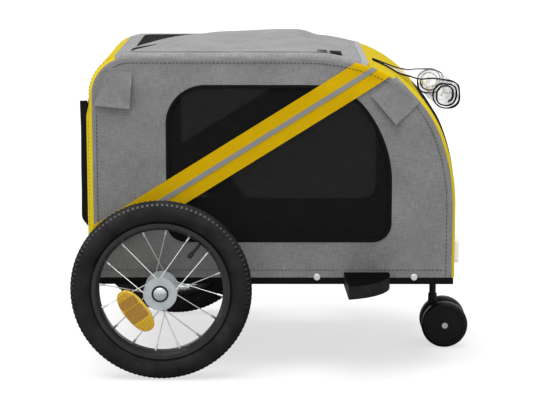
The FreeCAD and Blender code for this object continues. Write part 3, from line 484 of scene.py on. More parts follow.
@dataclass(frozen=True)
class Lens(Finish):
    """Clear coloured lens over rows of small prisms, with painted light and shade on the prism faces and a painted
    glow.
    """

    pitch: float = 0.0035
    # Emission strength: a painted glow.
    glow: float = 0.12
    depth: float = 0.0012
    # Tints of the painted lit faces and the painted shaded faces.
    light: float = 1.15
    dark: float = 0.55
    span: Flat = (0.3, 1.1)

    def dress(self, bench: Bench) -> Sockets:
        """Prism rows three ways, with painted lit and painted shaded faces, and a painted glow.

        Args:
            bench: The material's nodes.

        Returns:
            What goes into each of the shader's inputs.
        """
        axes = bench.axes(bench.scaled(bench.place(), (1 / self.pitch,) * 3))
        rows = [bench.math("PINGPONG", axes[n], 0.5) for n in range(3)]
        facet = bench.math("ADD", bench.math("ADD", rows[0], rows[1]), rows[2])
        share = bench.range(facet, self.span)
        # Painted light and shade on the prism faces, and a painted glow from emission.
        return {"Base Color": bench.mix(share, self.tint(self.dark), self.tint(self.light)),
                "Normal": self.bump(bench, facet, self.depth), "Coat Weight": 1.0, "Coat Roughness": 0.05,
                "Emission Color": (*self.colour, 1.0), "Emission Strength": self.glow}


def grey(level: float) -> Triple:
    """A colour with three like channels."""
    return (level, level, level)


GREY_CLOTH = Cloth("grey_melange_cloth", grey(0.30), 0.85, "grey_fabric", light=1.36, dark=0.66)
STRAP_YELLOW = Cloth("strap_yellow_cloth", (0.857, 0.535, 0.0015), 0.8, "yellow_fabric", light=1.1, dark=0.9)
# A lighter copy of the strap's yellow fabric: painted light on the end panels, with painted shade darkening its top
# faces to two thirds.
EDGE_YELLOW = Cloth("edge_yellow_cloth", (0.95, 0.72, 0.02), 0.8, "yellow_fabric", light=1.05, dark=0.9,
                    topside=0.66)
BLACK_CLOTH = Cloth("black_pocket_cloth", (0.010, 0.010, 0.011), 0.85, "black_fabric", light=1.3, dark=0.7)
BINDING = Cloth("black_binding_tape", (0.008, 0.008, 0.009), 0.75, "black_fabric", pitch=0.0009)
SILVER_TAPE = Cloth("silver_reflective_tape", (0.39, 0.39, 0.37), 0.45, "reflective_tape", pitch=0.0007,
                    light=1.1, dark=0.9)
PALE_TAPE = Cloth("pale_seam_tape", (0.42, 0.42, 0.425), 0.8, "grey_fabric", pitch=0.0009, light=1.1, dark=0.9)
WINDOW_NET = Net("black_window_net", grey(0.011), 0.9, "black_mesh")
FAR_NET = Net("black_far_window_net", grey(0.011), 0.9, "black_mesh", turn=0.6)
SCREEN_NET = Net("black_screen_net", grey(0.005), 0.9, "black_mesh", thread=0.7, turn=0.3)
CLEAR_VINYL = Vinyl("clear_rain_vinyl", (0.90, 0.905, 0.91), 0.16, "clear_vinyl")
THREAD = Moulding("dark_sewing_thread", (0.035, 0.035, 0.037), 0.9, shine=0.1)
YELLOW_THREAD = Moulding("ochre_sewing_thread", (0.42, 0.27, 0.01), 0.8)
POWDER_BLACK = Moulding("black_powder_coat", (0.007, 0.007, 0.0075), 0.5, depth=0.0001, shine=0.08)
RIM_BLACK = Moulding("black_rim_paint", (0.014, 0.014, 0.015), 0.22, shine=0.6)
# Deflector plastic whose faces that look up are painted almost black: painted shade on the top, plain colour on the
# sides.
DEFLECTOR_BLACK = Moulding("black_gloss_plastic_painted_dark_top", (0.024, 0.024, 0.025), 0.4, depth=0.00003, bend=1.06,
                           topside=0.02)
CASTER_BLACK = Moulding("black_caster_plastic", (0.006, 0.006, 0.007), 0.45, shine=0.2)
TYRE_RUBBER = Moulding("black_tyre_rubber", grey(0.027), 0.9, "tyre_rubber", fine=900.0, bend=1.1)
# Shoulder lug rubber, eight times lighter on the faces that look up: a painted highlight.
LUG_RUBBER = Moulding("lug_rubber_painted_top_light", grey(0.02), 0.85, "tyre_rubber", fine=900.0, bend=1.1, topside=8.0)
SEAL_RUBBER = Moulding("black_seal_rubber", grey(0.012), 0.6)
BOARD = Moulding("pressed_floor_board", (0.03, 0.03, 0.032), 0.7, fine=500.0)
SCREW_STEEL = Moulding("bright_screw_steel", (0.86, 0.87, 0.87), 0.35, change=0.05, metallic=0.3)
ZINC = Moulding("zinc_plated_steel", (0.62, 0.66, 0.68), 0.34, slow=60.0, depth=0.00003, change=0.08, metallic=1.0)
HUB_ZINC = Moulding("satin_hub_zinc", (0.58, 0.64, 0.65), 0.5, slow=70.0, depth=0.00004, change=0.08, metallic=0.75)
SPOKE_STEEL = Moulding("bright_spoke_steel", (0.78, 0.78, 0.77), 0.3, slow=80.0, depth=0.00002, change=0.06,
                       metallic=0.9)
# Reflector lenses, each with a painted glow and painted light and shade on its prisms.
AMBER = Lens("amber_reflector_lens", (0.66, 0.32, 0.015), 0.4, "amber_lens", pitch=0.0016, glow=0.08)
AMBER_END = Lens("amber_ridged_ends", (0.93, 0.56, 0.008), 0.2, "amber_lens", pitch=0.0024, glow=0.14)
RED = Lens("red_reflector_lens", (0.45, 0.012, 0.01), 0.25)
WHITE = Lens("white_reflector_lens", grey(0.93), 0.2, glow=0.3)


# Mesh helpers

def link(name: str, data: bpy.types.ID) -> Thing:
    """Puts a new object into the scene.

    Args:
        name: The object's name.
        data: Its mesh, lamp or camera.

    Returns:
        The object.
    """
    made = bpy.data.objects.new(name, data)
    bpy.context.scene.collection.objects.link(made)
    return made


def only(thing: Thing) -> None:
    """Leaves one object selected and active.

    Args:
        thing: The object.
    """
    bpy.ops.object.select_all(action="DESELECT")
    thing.select_set(True)
    bpy.context.view_layer.objects.active = thing


def apply(thing: Thing, kind: str, **settings: object) -> None:
    """Adds a modifier with these settings and applies it.

    Args:
        thing: The object.
        kind: The modifier's type.
        settings: The modifier's own properties.
    """
    only(thing)
    modifier = thing.modifiers.new(kind.lower(), kind)
    for key, value in settings.items():
        setattr(modifier, key, value)
    bpy.ops.object.modifier_apply(modifier=modifier.name)


def edit(thing: Thing, *steps: Callable[[], object]) -> None:
    """Runs steps in edit mode, each on the whole mesh.

    Args:
        thing: The object.
        steps: What is done, in order.
    """
    only(thing)
    bpy.ops.object.mode_set(mode="EDIT")
    for step in steps:
        bpy.ops.mesh.select_all(action="SELECT")
        step()
    bpy.ops.object.mode_set(mode="OBJECT")


def outwards() -> None:
    """Edit step: turns a closed mesh's faces outwards."""
    bpy.ops.mesh.normals_make_consistent(inside=False)


def smooth(thing: Thing, degrees: float = 40.0) -> None:
    """Shades a mesh smooth, but for edges sharper than an angle."""
    only(thing)
    bpy.ops.object.shade_smooth_by_angle(angle=math.radians(degrees))


def settle(thing: Thing) -> None:
    """Puts an object's place into its mesh, so that it sits unturned at the origin."""
    thing.data.transform(thing.matrix_basis)
    thing.matrix_basis = Matrix.Identity(4)


def copies(name: str, pattern: Thing, places: Sequence[Matrix]) -> Thing:
    """Joins copies of one small shape into a new object and removes the pattern.

    Args:
        name: The new object's name.
        pattern: The shape that repeats, modelled at the origin.
        places: Where each copy goes.

    Returns:
        The new object.
    """
    settle(pattern)
    mesh = bmesh.new()
    for place in places:
        start = len(mesh.verts)
        mesh.from_mesh(pattern.data)
        mesh.verts.ensure_lookup_table()
        bmesh.ops.transform(mesh, matrix=place, verts=mesh.verts[start:])
    data = bpy.data.meshes.new(name)
    mesh.to_mesh(data)
    mesh.free()
    bpy.data.objects.remove(pattern)
    return link(name, data)


def block_pattern(size: Triple, bevel: float) -> Thing:
    """A small bevelled block, to be copied.

    Args:
        size: Its length, width and height.
        bevel: Width of its bevels.

    Returns:
        The block, at the origin.
    """
    bpy.ops.mesh.primitive_cube_add(size=1)
    pattern = bpy.context.object
    pattern.scale = size
    settle(pattern)
    apply(pattern, "BEVEL", width=bevel, segments=1)
    return pattern


def fit(thing: Thing, finish: Finish, body: str, *nodes: str) -> None:
    """Dresses a piece, sets it on its body and hides the solids that it stands for.

    Args:
        thing: The piece.
        finish: Its finish.
        body: The body that it moves with.
        nodes: Names of the CAD nodes that it replaces.
    """
    thing.data.materials.clear()
    thing.data.materials.append(finish.material())
    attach(thing, body)
    if nodes:
        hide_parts(*nodes)
    log.info("%s: %d faces on %s", thing.name, len(thing.data.polygons), body)


# Numbers and outlines

def spread(start: float, stop: float, count: int) -> list[float]:
    """Evenly spaced values from start to stop, both included."""
    return [start + (stop - start) * number / (count - 1) for number in range(count)]


def fade(value: float, width: float) -> float:
    """Rises smoothly from 0 to 1 as value goes from 0 to width."""
    share = min(max(value / width, 0.0), 1.0)
    return share * share * (3 - 2 * share)


def bulge(share: float) -> float:
    """A tape's rounded section: 0 at both edges and 1 in the middle."""
    return 1 - (2 * share - 1) ** 2


def round_off(turn: float, power: float) -> float:
    """Radius, at an angle, of a shape between a circle and a square with half a side of 1."""
    return (abs(math.cos(turn)) ** power + abs(math.sin(turn)) ** power) ** (-1 / power)


def towards(angle: float) -> Vector:
    """Unit vector in a plane, at an angle."""
    return Vector((math.cos(angle), math.sin(angle)))


@dataclass(frozen=True)
class Wrinkle:
    """Smooth wrinkles of one size and depth, the same in each run."""

    size: float
    depth: float
    seed: float

    def at(self, x: float, y: float, z: float = 0.0) -> float:
        """Height of the wrinkles at a place."""
        return self.depth * noise.noise(Vector((x, y, z)) / self.size + Vector((self.seed,) * 3))


def sides(loop: Sequence[Vector]) -> Iterable[tuple[Vector, Vector]]:
    """Both ends of each side of a closed outline."""
    return zip(loop, [*loop[1:], loop[0]])


def gap_to(spot: Vector, loop: Sequence[Vector]) -> float:
    """Measures from a point to the nearest side of a closed outline.

    Args:
        spot: The point.
        loop: The outline's corners.

    Returns:
        The distance.
    """
    best = math.inf
    for first, second in sides(loop):
        side = second - first
        share = min(max((spot - first).dot(side) / max(side.length_squared, TINY), 0.0), 1.0)
        best = min(best, (first + side * share - spot).length)
    return best


@dataclass(frozen=True)
class Bend:
    """An arc in the side plane, turned through clockwise from start to stop, in radians."""

    x: float
    z: float
    radius: float
    start: float
    stop: float

    @property
    def length(self) -> float:
        """Length along the arc."""
        return self.radius * abs(self.start - self.stop)

    def at(self, distance: float) -> tuple[Vector, Vector]:
        """Point and outward normal at a distance along the arc."""
        out = towards(self.start + (self.stop - self.start) * distance / self.length)
        return Vector((self.x, self.z)) + out * self.radius, out


@dataclass(frozen=True)
class Run:
    """A straight run in the side plane; its outside is on the left of its way."""

    start: Flat
    stop: Flat

    @property
    def length(self) -> float:
        """Length of the run."""
        return (Vector(self.stop) - Vector(self.start)).length

    def at(self, distance: float) -> tuple[Vector, Vector]:
        """Point and outward normal at a distance along the run."""
        way = (Vector(self.stop) - Vector(self.start)).normalized()
        return Vector(self.start) + way * distance, Vector((-way.y, way.x))


class Outline:
    """Runs and bends joined end to end, measured from the first one's start."""

    def __init__(self, parts: Sequence[Bend | Run]) -> None:
        """Keeps the parts and where each one begins.

        Args:
            parts: The runs and bends, in order.
        """
        self.parts = parts
        self.starts = [0.0]
        for part in parts:
            self.starts.append(self.starts[-1] + part.length)
        self.length = self.starts[-1]

    def at(self, distance: float) -> tuple[Vector, Vector]:
        """Looks up a place on the outline.

        Args:
            distance: Distance from the start.

        Returns:
            The point there and its outward normal.
        """
        distance = min(max(distance, 0.0), self.length)
        number = max(bisect_left(self.starts, distance) - 1, 0)
        return self.parts[number].at(distance - self.starts[number])

    def loop(self, offset: float, step: float) -> list[Vector]:
        """Points along the outline, with one at the start of each part.

        Args:
            offset: How far they are set out from it.
            step: The most that they are apart.

        Returns:
            The points, without the outline's end.
        """
        found = []
        for part in self.parts:
            count = max(math.ceil(part.length / step), 1)
            for number in range(count):
                spot, out = part.at(part.length * number / count)
                found.append(spot + out * offset)
        return found


def brow(front_x: float, top_z: float, radii: Sequence[float], degrees: Sequence[float]) -> list[Bend]:
    """Tangent arcs that lead from level at top_z down to upright at front_x.

    Args:
        front_x: Where the last arc ends.
        top_z: Height at which the first arc starts.
        radii: Radius of each arc.
        degrees: How far each arc turns; they add up to a quarter turn.

    Returns:
        The arcs, in order.
    """
    centre = Vector((0.0, top_z - radii[0]))
    angle = QUARTER
    found = []
    for number, (radius, turn) in enumerate(zip(radii, degrees)):
        if number:
            centre = centre + towards(angle) * (radii[number - 1] - radius)
        found.append((centre, radius, angle, angle - math.radians(turn)))
        angle -= math.radians(turn)
    shift = front_x - radii[-1] - found[-1][0].x
    return [Bend(c.x + shift, c.y, r, a, b) for c, r, a, b in found]


def reach(start: Vector, way: Vector, points: Sequence[Vector]) -> float:
    """How far a ray goes before it leaves a closed outline.

    Args:
        start: The ray's start, inside the outline.
        way: Its direction, of length 1.
        points: The outline's corners.

    Returns:
        The distance to the farthest crossing.
    """
    best = 0.0
    for first, second in sides(points):
        edge = second - first
        cross = way.x * edge.y - way.y * edge.x
        if abs(cross) < TINY:
            continue
        gap = first - start
        along = (gap.x * edge.y - gap.y * edge.x) / cross
        share = (gap.x * way.y - gap.y * way.x) / cross
        if along > 0 and -NEARLY <= share <= 1 + NEARLY:
            best = max(best, along)
    return best


def spoked(centre: Vector, points: Sequence[Vector], angles: Sequence[float]) -> list[Flat]:
    """Where rays from a centre meet a closed outline.

    Args:
        centre: A point that sees the whole outline.
        points: The outline's corners.
        angles: The rays' angles.

    Returns:
        One point of the outline for each ray.
    """
    found = []
    for angle in angles:
        ray = towards(angle)
        far = reach(centre, ray, points)
        found.append((centre.x + ray.x * far, centre.y + ray.y * far))
    return found


def rays(centre: Vector, count: int, corners: Sequence[Vector]) -> list[float]:
    """Angles all round a centre, with one through each corner that must stay sharp.

    Args:
        centre: The centre.
        count: How many even angles there are.
        corners: The sharp corners.

    Returns:
        The angles, in order.
    """
    turns = [TURN * number / count for number in range(count)]
    exact = [math.atan2(corner.y - centre.y, corner.x - centre.x) % TURN for corner in corners]
    kept = [turn for turn in turns if all(abs(turn - other) > NEAR_CORNER * TURN / count for other in exact)]
    return sorted(kept + exact)


def quarter_arc(x: float, y: float, radius: float, quarter: int) -> list[Vector]:
    """Points of one of a circle's four quarters, on the flat cut.

    Args:
        x: The circle's middle along the cut.
        y: Its middle across the cut.
        radius: Its radius.
        quarter: Which quarter, from 0 to 3.

    Returns:
        The points, both ends included.
    """
    found = []
    for share in spread(0.0, 1.0, ARC_POINTS):
        angle = QUARTER * (quarter + share)
        found.append(Vector((x + radius * math.cos(angle), y + radius * math.sin(angle))))
    return found


@dataclass(frozen=True)
class Opening:
    """A rounded opening in a panel, from first to last along it and as wide to both sides."""

    first: float
    last: float
    half: float
    corner: float

    @property
    def centre(self) -> Vector:
        """The opening's middle on the flat cut."""
        return Vector(((self.first + self.last) / 2, 0.0))

    def edge(self, lap: float = 0.0, rounder: float = 0.0) -> list[Vector]:
        """The opening's outline.

        Args:
            lap: How far it is set out.
            rounder: What its corners' radius grows by.

        Returns:
            The outline's corners.
        """
        radius = self.corner + rounder
        low, high = self.first - lap + radius, self.last + lap - radius
        left, right = self.half + lap - radius, -self.half - lap + radius
        found = []
        for quarter, (x, y) in enumerate(((high, left), (low, left), (low, right), (high, right))):
            found += quarter_arc(x, y, radius, quarter)
        return found


# Sheets

def grid_faces(wide: int, high: int) -> list[tuple[int, ...]]:
    """Faces of a grid of corners that are numbered row by row."""
    return [(n, n + 1, n + 1 + wide, n + wide) for row in range(high - 1)
            for n in range(row * wide, row * wide + wide - 1)]


def ring_faces(count: int, rings: int, first: int = 0) -> list[tuple[int, ...]]:
    """Faces between closed rings of corners that are numbered ring by ring."""
    return [(start + n, start + (n + 1) % count, start + count + (n + 1) % count, start + count + n)
            for start in range(first, first + (rings - 1) * count, count) for n in range(count)]


class Fabric:
    """A sheet cut flat and then shaped, with its flat cut kept as a UV map."""

    def __init__(self, name: str, flats: Sequence[Flat], faces: Sequence[Sequence[int]], place: Place) -> None:
        """Lays the flat cut's corners out in space.

        Args:
            name: The piece's name.
            flats: The corners on the flat cut.
            faces: Corner numbers of each face.
            place: Where a flat point lies in space.
        """
        mesh = bpy.data.meshes.new(name)
        mesh.from_pydata([place(u, v) for u, v in flats], [], faces)
        layer = mesh.uv_layers.new(name="cloth")
        for loop in mesh.loops:
            layer.data[loop.index].uv = flats[loop.vertex_index]
        self.thing = link(name, mesh)
        self.area = sum(face.area for face in mesh.polygons)
        self.flat = [max(values) - min(values) for values in zip(*flats)]

    @classmethod
    def grid(cls, name: str, us: Flat, vs: Flat, counts: Counts, place: Place) -> "Fabric":
        """A rectangular cut.

        Args:
            name: The piece's name.
            us: Where it starts and stops along its length.
            vs: Where it starts and stops across it.
            counts: How many corners it has both ways.
            place: Where a flat point lies in space.

        Returns:
            The sheet.
        """
        flats = [(u, v) for v in spread(*vs, counts[1]) for u in spread(*us, counts[0])]
        return cls(name, flats, grid_faces(*counts), place)

    @classmethod
    def ring(cls, name: str, centre: Vector, hole: Sequence[Vector], edge: Sequence[Vector],
             sharp: Sequence[Vector], count: int, shares: Sequence[float], place: Place) -> "Fabric":
        """A cut with a hole.

        Args:
            name: The piece's name.
            centre: A point that sees both outlines.
            hole: The hole's outline.
            edge: The cut's outline.
            sharp: Corners of the outline that stay sharp.
            count: How many rays part the cut.
            shares: Where the rings lie, from 0 at the hole to 1.
            place: Where a flat point lies in space.

        Returns:
            The sheet.
        """
        turns = rays(centre, count, sharp)
        pairs = list(zip(spoked(centre, hole, turns), spoked(centre, edge, turns)))
        flats = [(a[0] + (b[0] - a[0]) * share, a[1] + (b[1] - a[1]) * share) for share in shares for a, b in pairs]
        return cls(name, flats, ring_faces(len(turns), len(shares)), place)

    @classmethod
    def disc(cls, name: str, centre: Vector, edge: Sequence[Vector], count: int, rings: int,
             place: Place) -> "Fabric":
        """A cut without a hole, in rings round a centre.

        Args:
            name: The piece's name.
            centre: The point that the rings close on.
            edge: The cut's outline.
            count: How many rays part the cut.
            rings: How many rings it has.
            place: Where a flat point lies in space.

        Returns:
            The sheet.
        """
        outer = spoked(centre, edge, rays(centre, count, []))
        flats = [(centre.x, centre.y)]
        for ring in range(1, rings + 1):
            share = ring / rings
            flats += [(centre.x + (u - centre.x) * share, centre.y + (v - centre.y) * share) for u, v in outer]
        faces: list[tuple[int, ...]] = [(0, 1 + n, 1 + (n + 1) % count) for n in range(count)]
        faces += [(a, d, c, b) for a, b, c, d in ring_faces(count, rings, 1)]
        return cls(name, flats, faces, place)

    def close(self) -> None:
        """Joins the ends of a sheet that runs round and meets itself."""
        edit(self.thing, lambda: bpy.ops.mesh.remove_doubles(threshold=WELD))

    def sew(self, finish: Finish, held: Hold, under: Sequence[str], *nodes: str, wall: float = 0.0,
            body: str = "frame") -> None:
        """Args:
            finish: Its finish.
            held: How it is held; not used.
            under: The pieces that it rests on.
            nodes: Names of the CAD nodes that it replaces.
            wall: Its thickness, 0 for a net or film that stays one layer.
            body: The body that it moves with.
        """
        if wall:
            apply(self.thing, "SOLIDIFY", thickness=wall, offset=0.0)
            edit(self.thing, outwards)
        smooth(self.thing)
        fit(self.thing, finish, body, *nodes)
        long, wide = (max(size, NARROWEST) for size in self.flat)
        list(under)
        min(max(self.area, LEAST_AREA * long * wide), long * wide)


@dataclass(frozen=True)
class Stitch:
    """One stitch of a seam, and how far apart they are."""

    size: Triple = (0.0046, 0.0017, 0.0011)
    bevel: float = 0.35
    pitch: float = 0.0077
    middle: float = 0.3
    end: float = 0.6

    def seam(self, name: str, finish: Finish, path: Path, length: float) -> None:
        """Sews a row of stitches.

        Args:
            name: The row's name.
            finish: The thread's finish.
            path: Where the seam is at a distance from its start.
            length: The seam's length.
        """
        pattern = block_pattern(self.size, self.size[2] * self.bevel)
        places = []
        for number in range(max(int(length / self.pitch), 1)):
            spot = path((number + self.middle) * self.pitch)
            way = (path((number + self.end) * self.pitch) - path(number * self.pitch)).normalized()
            places.append(Matrix.Translation(spot) @ way.to_track_quat("X", "Z").to_matrix().to_4x4())
        fit(copies(name, pattern, places), finish, "frame")


SEAM = Stitch()


# The cover

@dataclass
class Cabin:
    """The cabin's skin: its outline from the side, swept across with rounded long edges."""

    corner: float = 0.080
    radii: Triple = (0.420, 0.235, 0.400)
    degrees: Triple = (16.0, 54.0, 20.0)
    edge: float = 0.0138
    piping: float = 0.62
    belly: float = 0.006
    belly_in: float = 0.06
    belly_up: float = 0.12
    wall: float = 0.0012
    step: float = 0.004
    roof_joints: Counts = (1, 6)
    front_joints: Counts = (3, -1)

    def __post_init__(self) -> None:
        """Reads the cabin's reach from the frame and joins the outline."""
        rear_low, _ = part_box("rear_border")
        _, front_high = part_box("front_border")
        self.rear_x, self.front_x = rear_low.x, front_high.x
        self.roof_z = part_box("roof_panel")[1].z
        self.half = -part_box("side_panel_right")[0].y
        self.hem_z = rear_low.z
        self.flat = self.half - self.edge
        x, z = self.rear_x + self.corner, self.roof_z - self.corner
        arcs = brow(self.front_x, self.roof_z, self.radii, self.degrees)
        self.outline = Outline([
            Run((self.rear_x, self.hem_z), (self.rear_x, z)), Bend(x, z, self.corner, math.pi, QUARTER),
            Run((x, self.roof_z), (arcs[0].x, self.roof_z)), *arcs,
            Run((self.front_x, arcs[-1].z), (self.front_x, self.hem_z))])
        self.side_edge = self.flat + self.edge * QUARTER
        self.piping_edge = self.flat + self.edge * self.piping * QUARTER
        count = int(self.outline.length / self.step) + 1
        self.samples = [self.outline.at(number * self.step)[0] for number in range(count)]

    def skin(self, along: float, across: float, lift: float = 0.0) -> Vector:
        """A point of the skin.

        Args:
            along: Distance along the outline from its rear foot.
            across: Distance over the skin from the middle plane, past the rounded edge and down the side.
            lift: Height above the skin.

        Returns:
            The point in space.
        """
        spot, out = self.outline.at(along)
        wide = abs(across)
        turn = min(max((wide - self.flat) / self.edge, 0.0), QUARTER)
        past = max(wide - self.side_edge, 0.0)
        spot = spot + out * ((self.edge + lift) * math.cos(turn) - self.edge - past)
        wide = min(wide, self.flat) + (self.edge + lift) * math.sin(turn)
        return Vector((spot.x, math.copysign(wide, across), spot.y))

    def inner(self, along: float, across: float) -> Vector:
        """A point half a cloth's thickness under the skin."""
        return self.skin(along, across, -self.wall / 2)

    def search(self, first: int, last: int, before: Callable[[Vector], bool]) -> float:
        """Where along the outline a test stops being true.

        Args:
            first: Number of the joint that the search starts at.
            last: Number of the joint that it ends at.
            before: The test of a point.

        Returns:
            Distance along the outline.
        """
        low, high = self.outline.starts[first], self.outline.starts[last]
        for _ in range(HALVINGS):
            middle = (low + high) / 2
            if before(self.outline.at(middle)[0]):
                low = middle
            else:
                high = middle
        return low

    def station(self, x: float) -> float:
        """Distance along the outline of the roof point at x."""
        return self.search(*self.roof_joints, lambda spot: spot.x < x)

    def front_station(self, z: float) -> float:
        """Distance along the outline of the front's point at height z."""
        return self.search(*self.front_joints, lambda spot: spot.y > z)

    def field(self, inset: float, step: float) -> list[Vector]:
        """The outline set in by inset, closed along the hem."""
        spot, out = self.outline.at(self.outline.length)
        return [*self.outline.loop(-inset, step), spot - out * inset]

    def nearest(self, spot: Vector) -> tuple[float, float]:
        """Finds the outline's nearest point.

        Args:
            spot: A point of the side plane.

        Returns:
            The nearest point's distance along the outline, and the spot's depth inside it.
        """
        gaps = [(sample - spot).length_squared for sample in self.samples]
        best = gaps.index(min(gaps))
        low, high = (best - 1) * self.step, (best + 1) * self.step
        for _ in range(THIRDINGS):
            first, second = low + (high - low) / 3, high - (high - low) / 3
            if (self.outline.at(first)[0] - spot).length < (self.outline.at(second)[0] - spot).length:
                high = second
            else:
                low = first
        edge_spot, out = self.outline.at(low)
        return low, (edge_spot - spot).dot(out)

    def side(self, side: Side, x: float, z: float, lift: float = 0.0) -> Vector:
        """A point of one side's flat cut, bent over the rounded edge where it passes it.

        Args:
            side: Which side.
            x: Place along the side.
            z: Height.
            lift: Height above the side.

        Returns:
            The point in space.
        """
        station, depth = self.nearest(Vector((x, z)))
        if depth >= self.edge:
            swell = self.belly * fade(depth - self.edge, self.belly_in) * fade(z - self.hem_z, self.belly_up)
            return Vector((x, side.value * (self.half + swell + lift), z))
        return self.skin(station, side.value * (self.side_edge - (self.edge - depth)), lift)

    def panel(self, name: str, span: Flat, lap: float, hole: Opening, count: int, shares: Sequence[float],
              place: Place) -> Fabric:
        """A panel from edge to edge of the cabin, with an opening.

        Args:
            name: The panel's name.
            span: Where it starts and stops along the outline.
            lap: How far it goes under the piping.
            hole: Its opening.
            count: How many rays part it.
            shares: Where its rings lie, from 0 at the opening to 1.
            place: Where a flat point lies in space.

        Returns:
            The panel's sheet.
        """
        wide = self.piping_edge + lap
        edge = [Vector((span[end], way * wide)) for end, way in ((0, -1), (1, -1), (1, 1), (0, 1))]
        return Fabric.ring(name, hole.centre, hole.edge(), edge, edge, count, shares, place)


@dataclass
class SideWall:
    """One grey side with its window, strap, stripe and corner patches."""

    cabin: Cabin
    side: Side
    window_low: Flat = (-0.209, 0.259)
    window_high: Flat = (0.222, 0.562)
    window_corner: float = 0.036
    window_head: float = 0.074
    window_radii: Flat = (0.116, 0.233)
    window_degrees: Flat = (51.0, 39.0)
    window_step: float = 0.005
    field_step: float = 0.01
    middle: Flat = (0.0, 0.400)
    panel_mesh: Counts = (260, 9)
    edge_mesh: Counts = (190, 7)
    net_mesh: Counts = (160, 8)
    hem_mesh: Counts = (60, 6)
    tape_mesh: Counts = (200, 6)
    strap_mesh: Counts = (110, 9)
    patch_mesh: Counts = (25, 25)
    wrinkles: Wrinkle = Wrinkle(0.06, 0.0009, 3.1)
    taut: float = 0.03
    edge_lap: float = 0.002
    net_lap: float = 0.004
    net_drop: float = 0.0006
    net_slack: Wrinkle = Wrinkle(0.11, 0.0012, 5.7)
    slack_layer: float = 2.0
    tape_wall: float = 0.0006
    binding: Flat = (-0.006, 0.0008)
    binding_rise: Flat = (0.0002, 0.0007)
    hem: Flat = (0.1745, 0.1875)
    hem_rise: Flat = (0.0004, 0.0009)
    hem_inset: float = 0.003
    strap_middle: Flat = (-0.010, 0.470)
    strap_slope: float = math.radians(32.0)
    strap_width: float = 0.057
    strap_lift: float = 0.0018
    strap_wall: float = 0.0014
    strap_step: float = 0.006
    pucker: Wrinkle = Wrinkle(0.035, 0.0006, 9.3)
    pucker_across: float = 0.3
    stripe_width: float = 0.0095
    stripe_lift: float = 0.0029
    stripe_wall: float = 0.0008
    rear_patch: tuple[Flat, ...] = ((-0.3455, 0.5235), (-0.277, 0.5175), (-0.272, 0.588), (-0.327, 0.590))
    front_patch: tuple[Flat, ...] = ((0.181, 0.543), (0.229, 0.487), (0.276, 0.529), (0.230, 0.579))
    patch_rise: Flat = (0.0009, 0.0062)
    patch_power: int = 3
    edge_seam: float = -0.318
    edge_seam_in: float = 0.004
    rear_seam: Flat = (-0.342, 0.513)
    rear_seam_up: float = 0.020
    hem_seam_in: float = 0.02
    hem_seam_up: float = 0.0165
    over_strap: float = 0.0026
    thread_lift: float = 0.0002
    rear_thread_lift: float = 0.0003

    def __post_init__(self) -> None:
        """Joins the window's outline and names what the trim is sewn on."""
        (left, low), (right, high) = self.window_low, self.window_high
        foot, head = self.window_corner, self.window_head
        arcs = brow(right, high, self.window_radii, self.window_degrees)
        self.window = Outline([
            Run((left, low + foot), (left, high - head)), Bend(left + head, high - head, head, math.pi, QUARTER),
            Run((left + head, high), (arcs[0].x, high)), *arcs,
            Run((right, arcs[-1].z), (right, low + foot)), Bend(right - foot, low + foot, foot, 0.0, -QUARTER),
            Run((right - foot, low), (left + foot, low)), Bend(left + foot, low + foot, foot, -QUARTER, -math.pi)])
        self.way = towards(self.strap_slope)
        self.tail = self.side.tail
        self.cloth = ["side_cloth" + self.tail]

    def build(self) -> None:
        """Makes every piece of this side."""
        self.panel()
        self.edge_strip()
        self.net()
        self.window_tape()
        self.hem_tape()
        self.strap()
        self.patches()
        self.seams()

    def panel(self) -> None:
        """The grey field round the window."""
        cabin = self.cabin
        edge = cabin.field(cabin.edge, self.field_step)

        def place(x: float, z: float) -> Vector:
            """Level cloth with shallow wrinkles that die out at the edges.

            Args:
                x: Place along the side.
                z: Height.

            Returns:
                The point in space.
            """
            inside = cabin.nearest(Vector((x, z)))[1] - cabin.edge
            wrinkle = self.wrinkles.at(x, 0.0, z) * fade(inside, self.taut)
            return cabin.side(self.side, x, z, wrinkle - cabin.wall / 2)

        sheet = Fabric.ring(self.cloth[0], Vector(self.middle), self.window.loop(0.0, self.window_step), edge,
                            (edge[0], edge[-1]), self.panel_mesh[0], spread(0.0, 1.0, self.panel_mesh[1]), place)
        sheet.sew(GREY_CLOTH, Hold.STRETCHED, ["hoop" + self.tail], "side_panel" + self.tail, wall=cabin.wall)

    def edge_strip(self) -> None:
        """The grey strip that goes round the long edge, up to the coloured ends and the roof."""
        cabin = self.cabin
        sheet = Fabric.grid("side_edge" + self.tail, (0.0, cabin.outline.length),
                            (cabin.side_edge + self.edge_lap, cabin.piping_edge), self.edge_mesh,
                            lambda u, v: cabin.inner(u, self.side.value * v))
        sheet.sew(GREY_CLOTH, Hold.STRETCHED, ["hoop" + self.tail], wall=cabin.wall)

    def net(self) -> None:
        """The black net behind the window's edge."""

        def place(x: float, z: float) -> Vector:
            """The net hangs a little slack."""
            slack = min(self.net_slack.at(x, self.slack_layer, z), 0.0)
            return self.cabin.side(self.side, x, z, slack - self.cabin.wall - self.net_drop)

        sheet = Fabric.disc("window_net" + self.tail, Vector(self.middle),
                            self.window.loop(self.net_lap, self.window_step), *self.net_mesh, place)
        finish = WINDOW_NET if self.side is Side.RIGHT else FAR_NET
        sheet.sew(finish, Hold.STRETCHED, self.cloth, "window_mesh" + self.tail)

    def hem_tape(self) -> None:
        """The black binding along the lower edge."""
        cabin = self.cabin
        low, high = self.hem

        def place(x: float, z: float) -> Vector:
            """A tape with a rounded section, turned under the edge."""
            lift = self.hem_rise[0] + self.hem_rise[1] * bulge((z - low) / (high - low))
            return Vector((x, self.side.value * (cabin.half + lift), z))

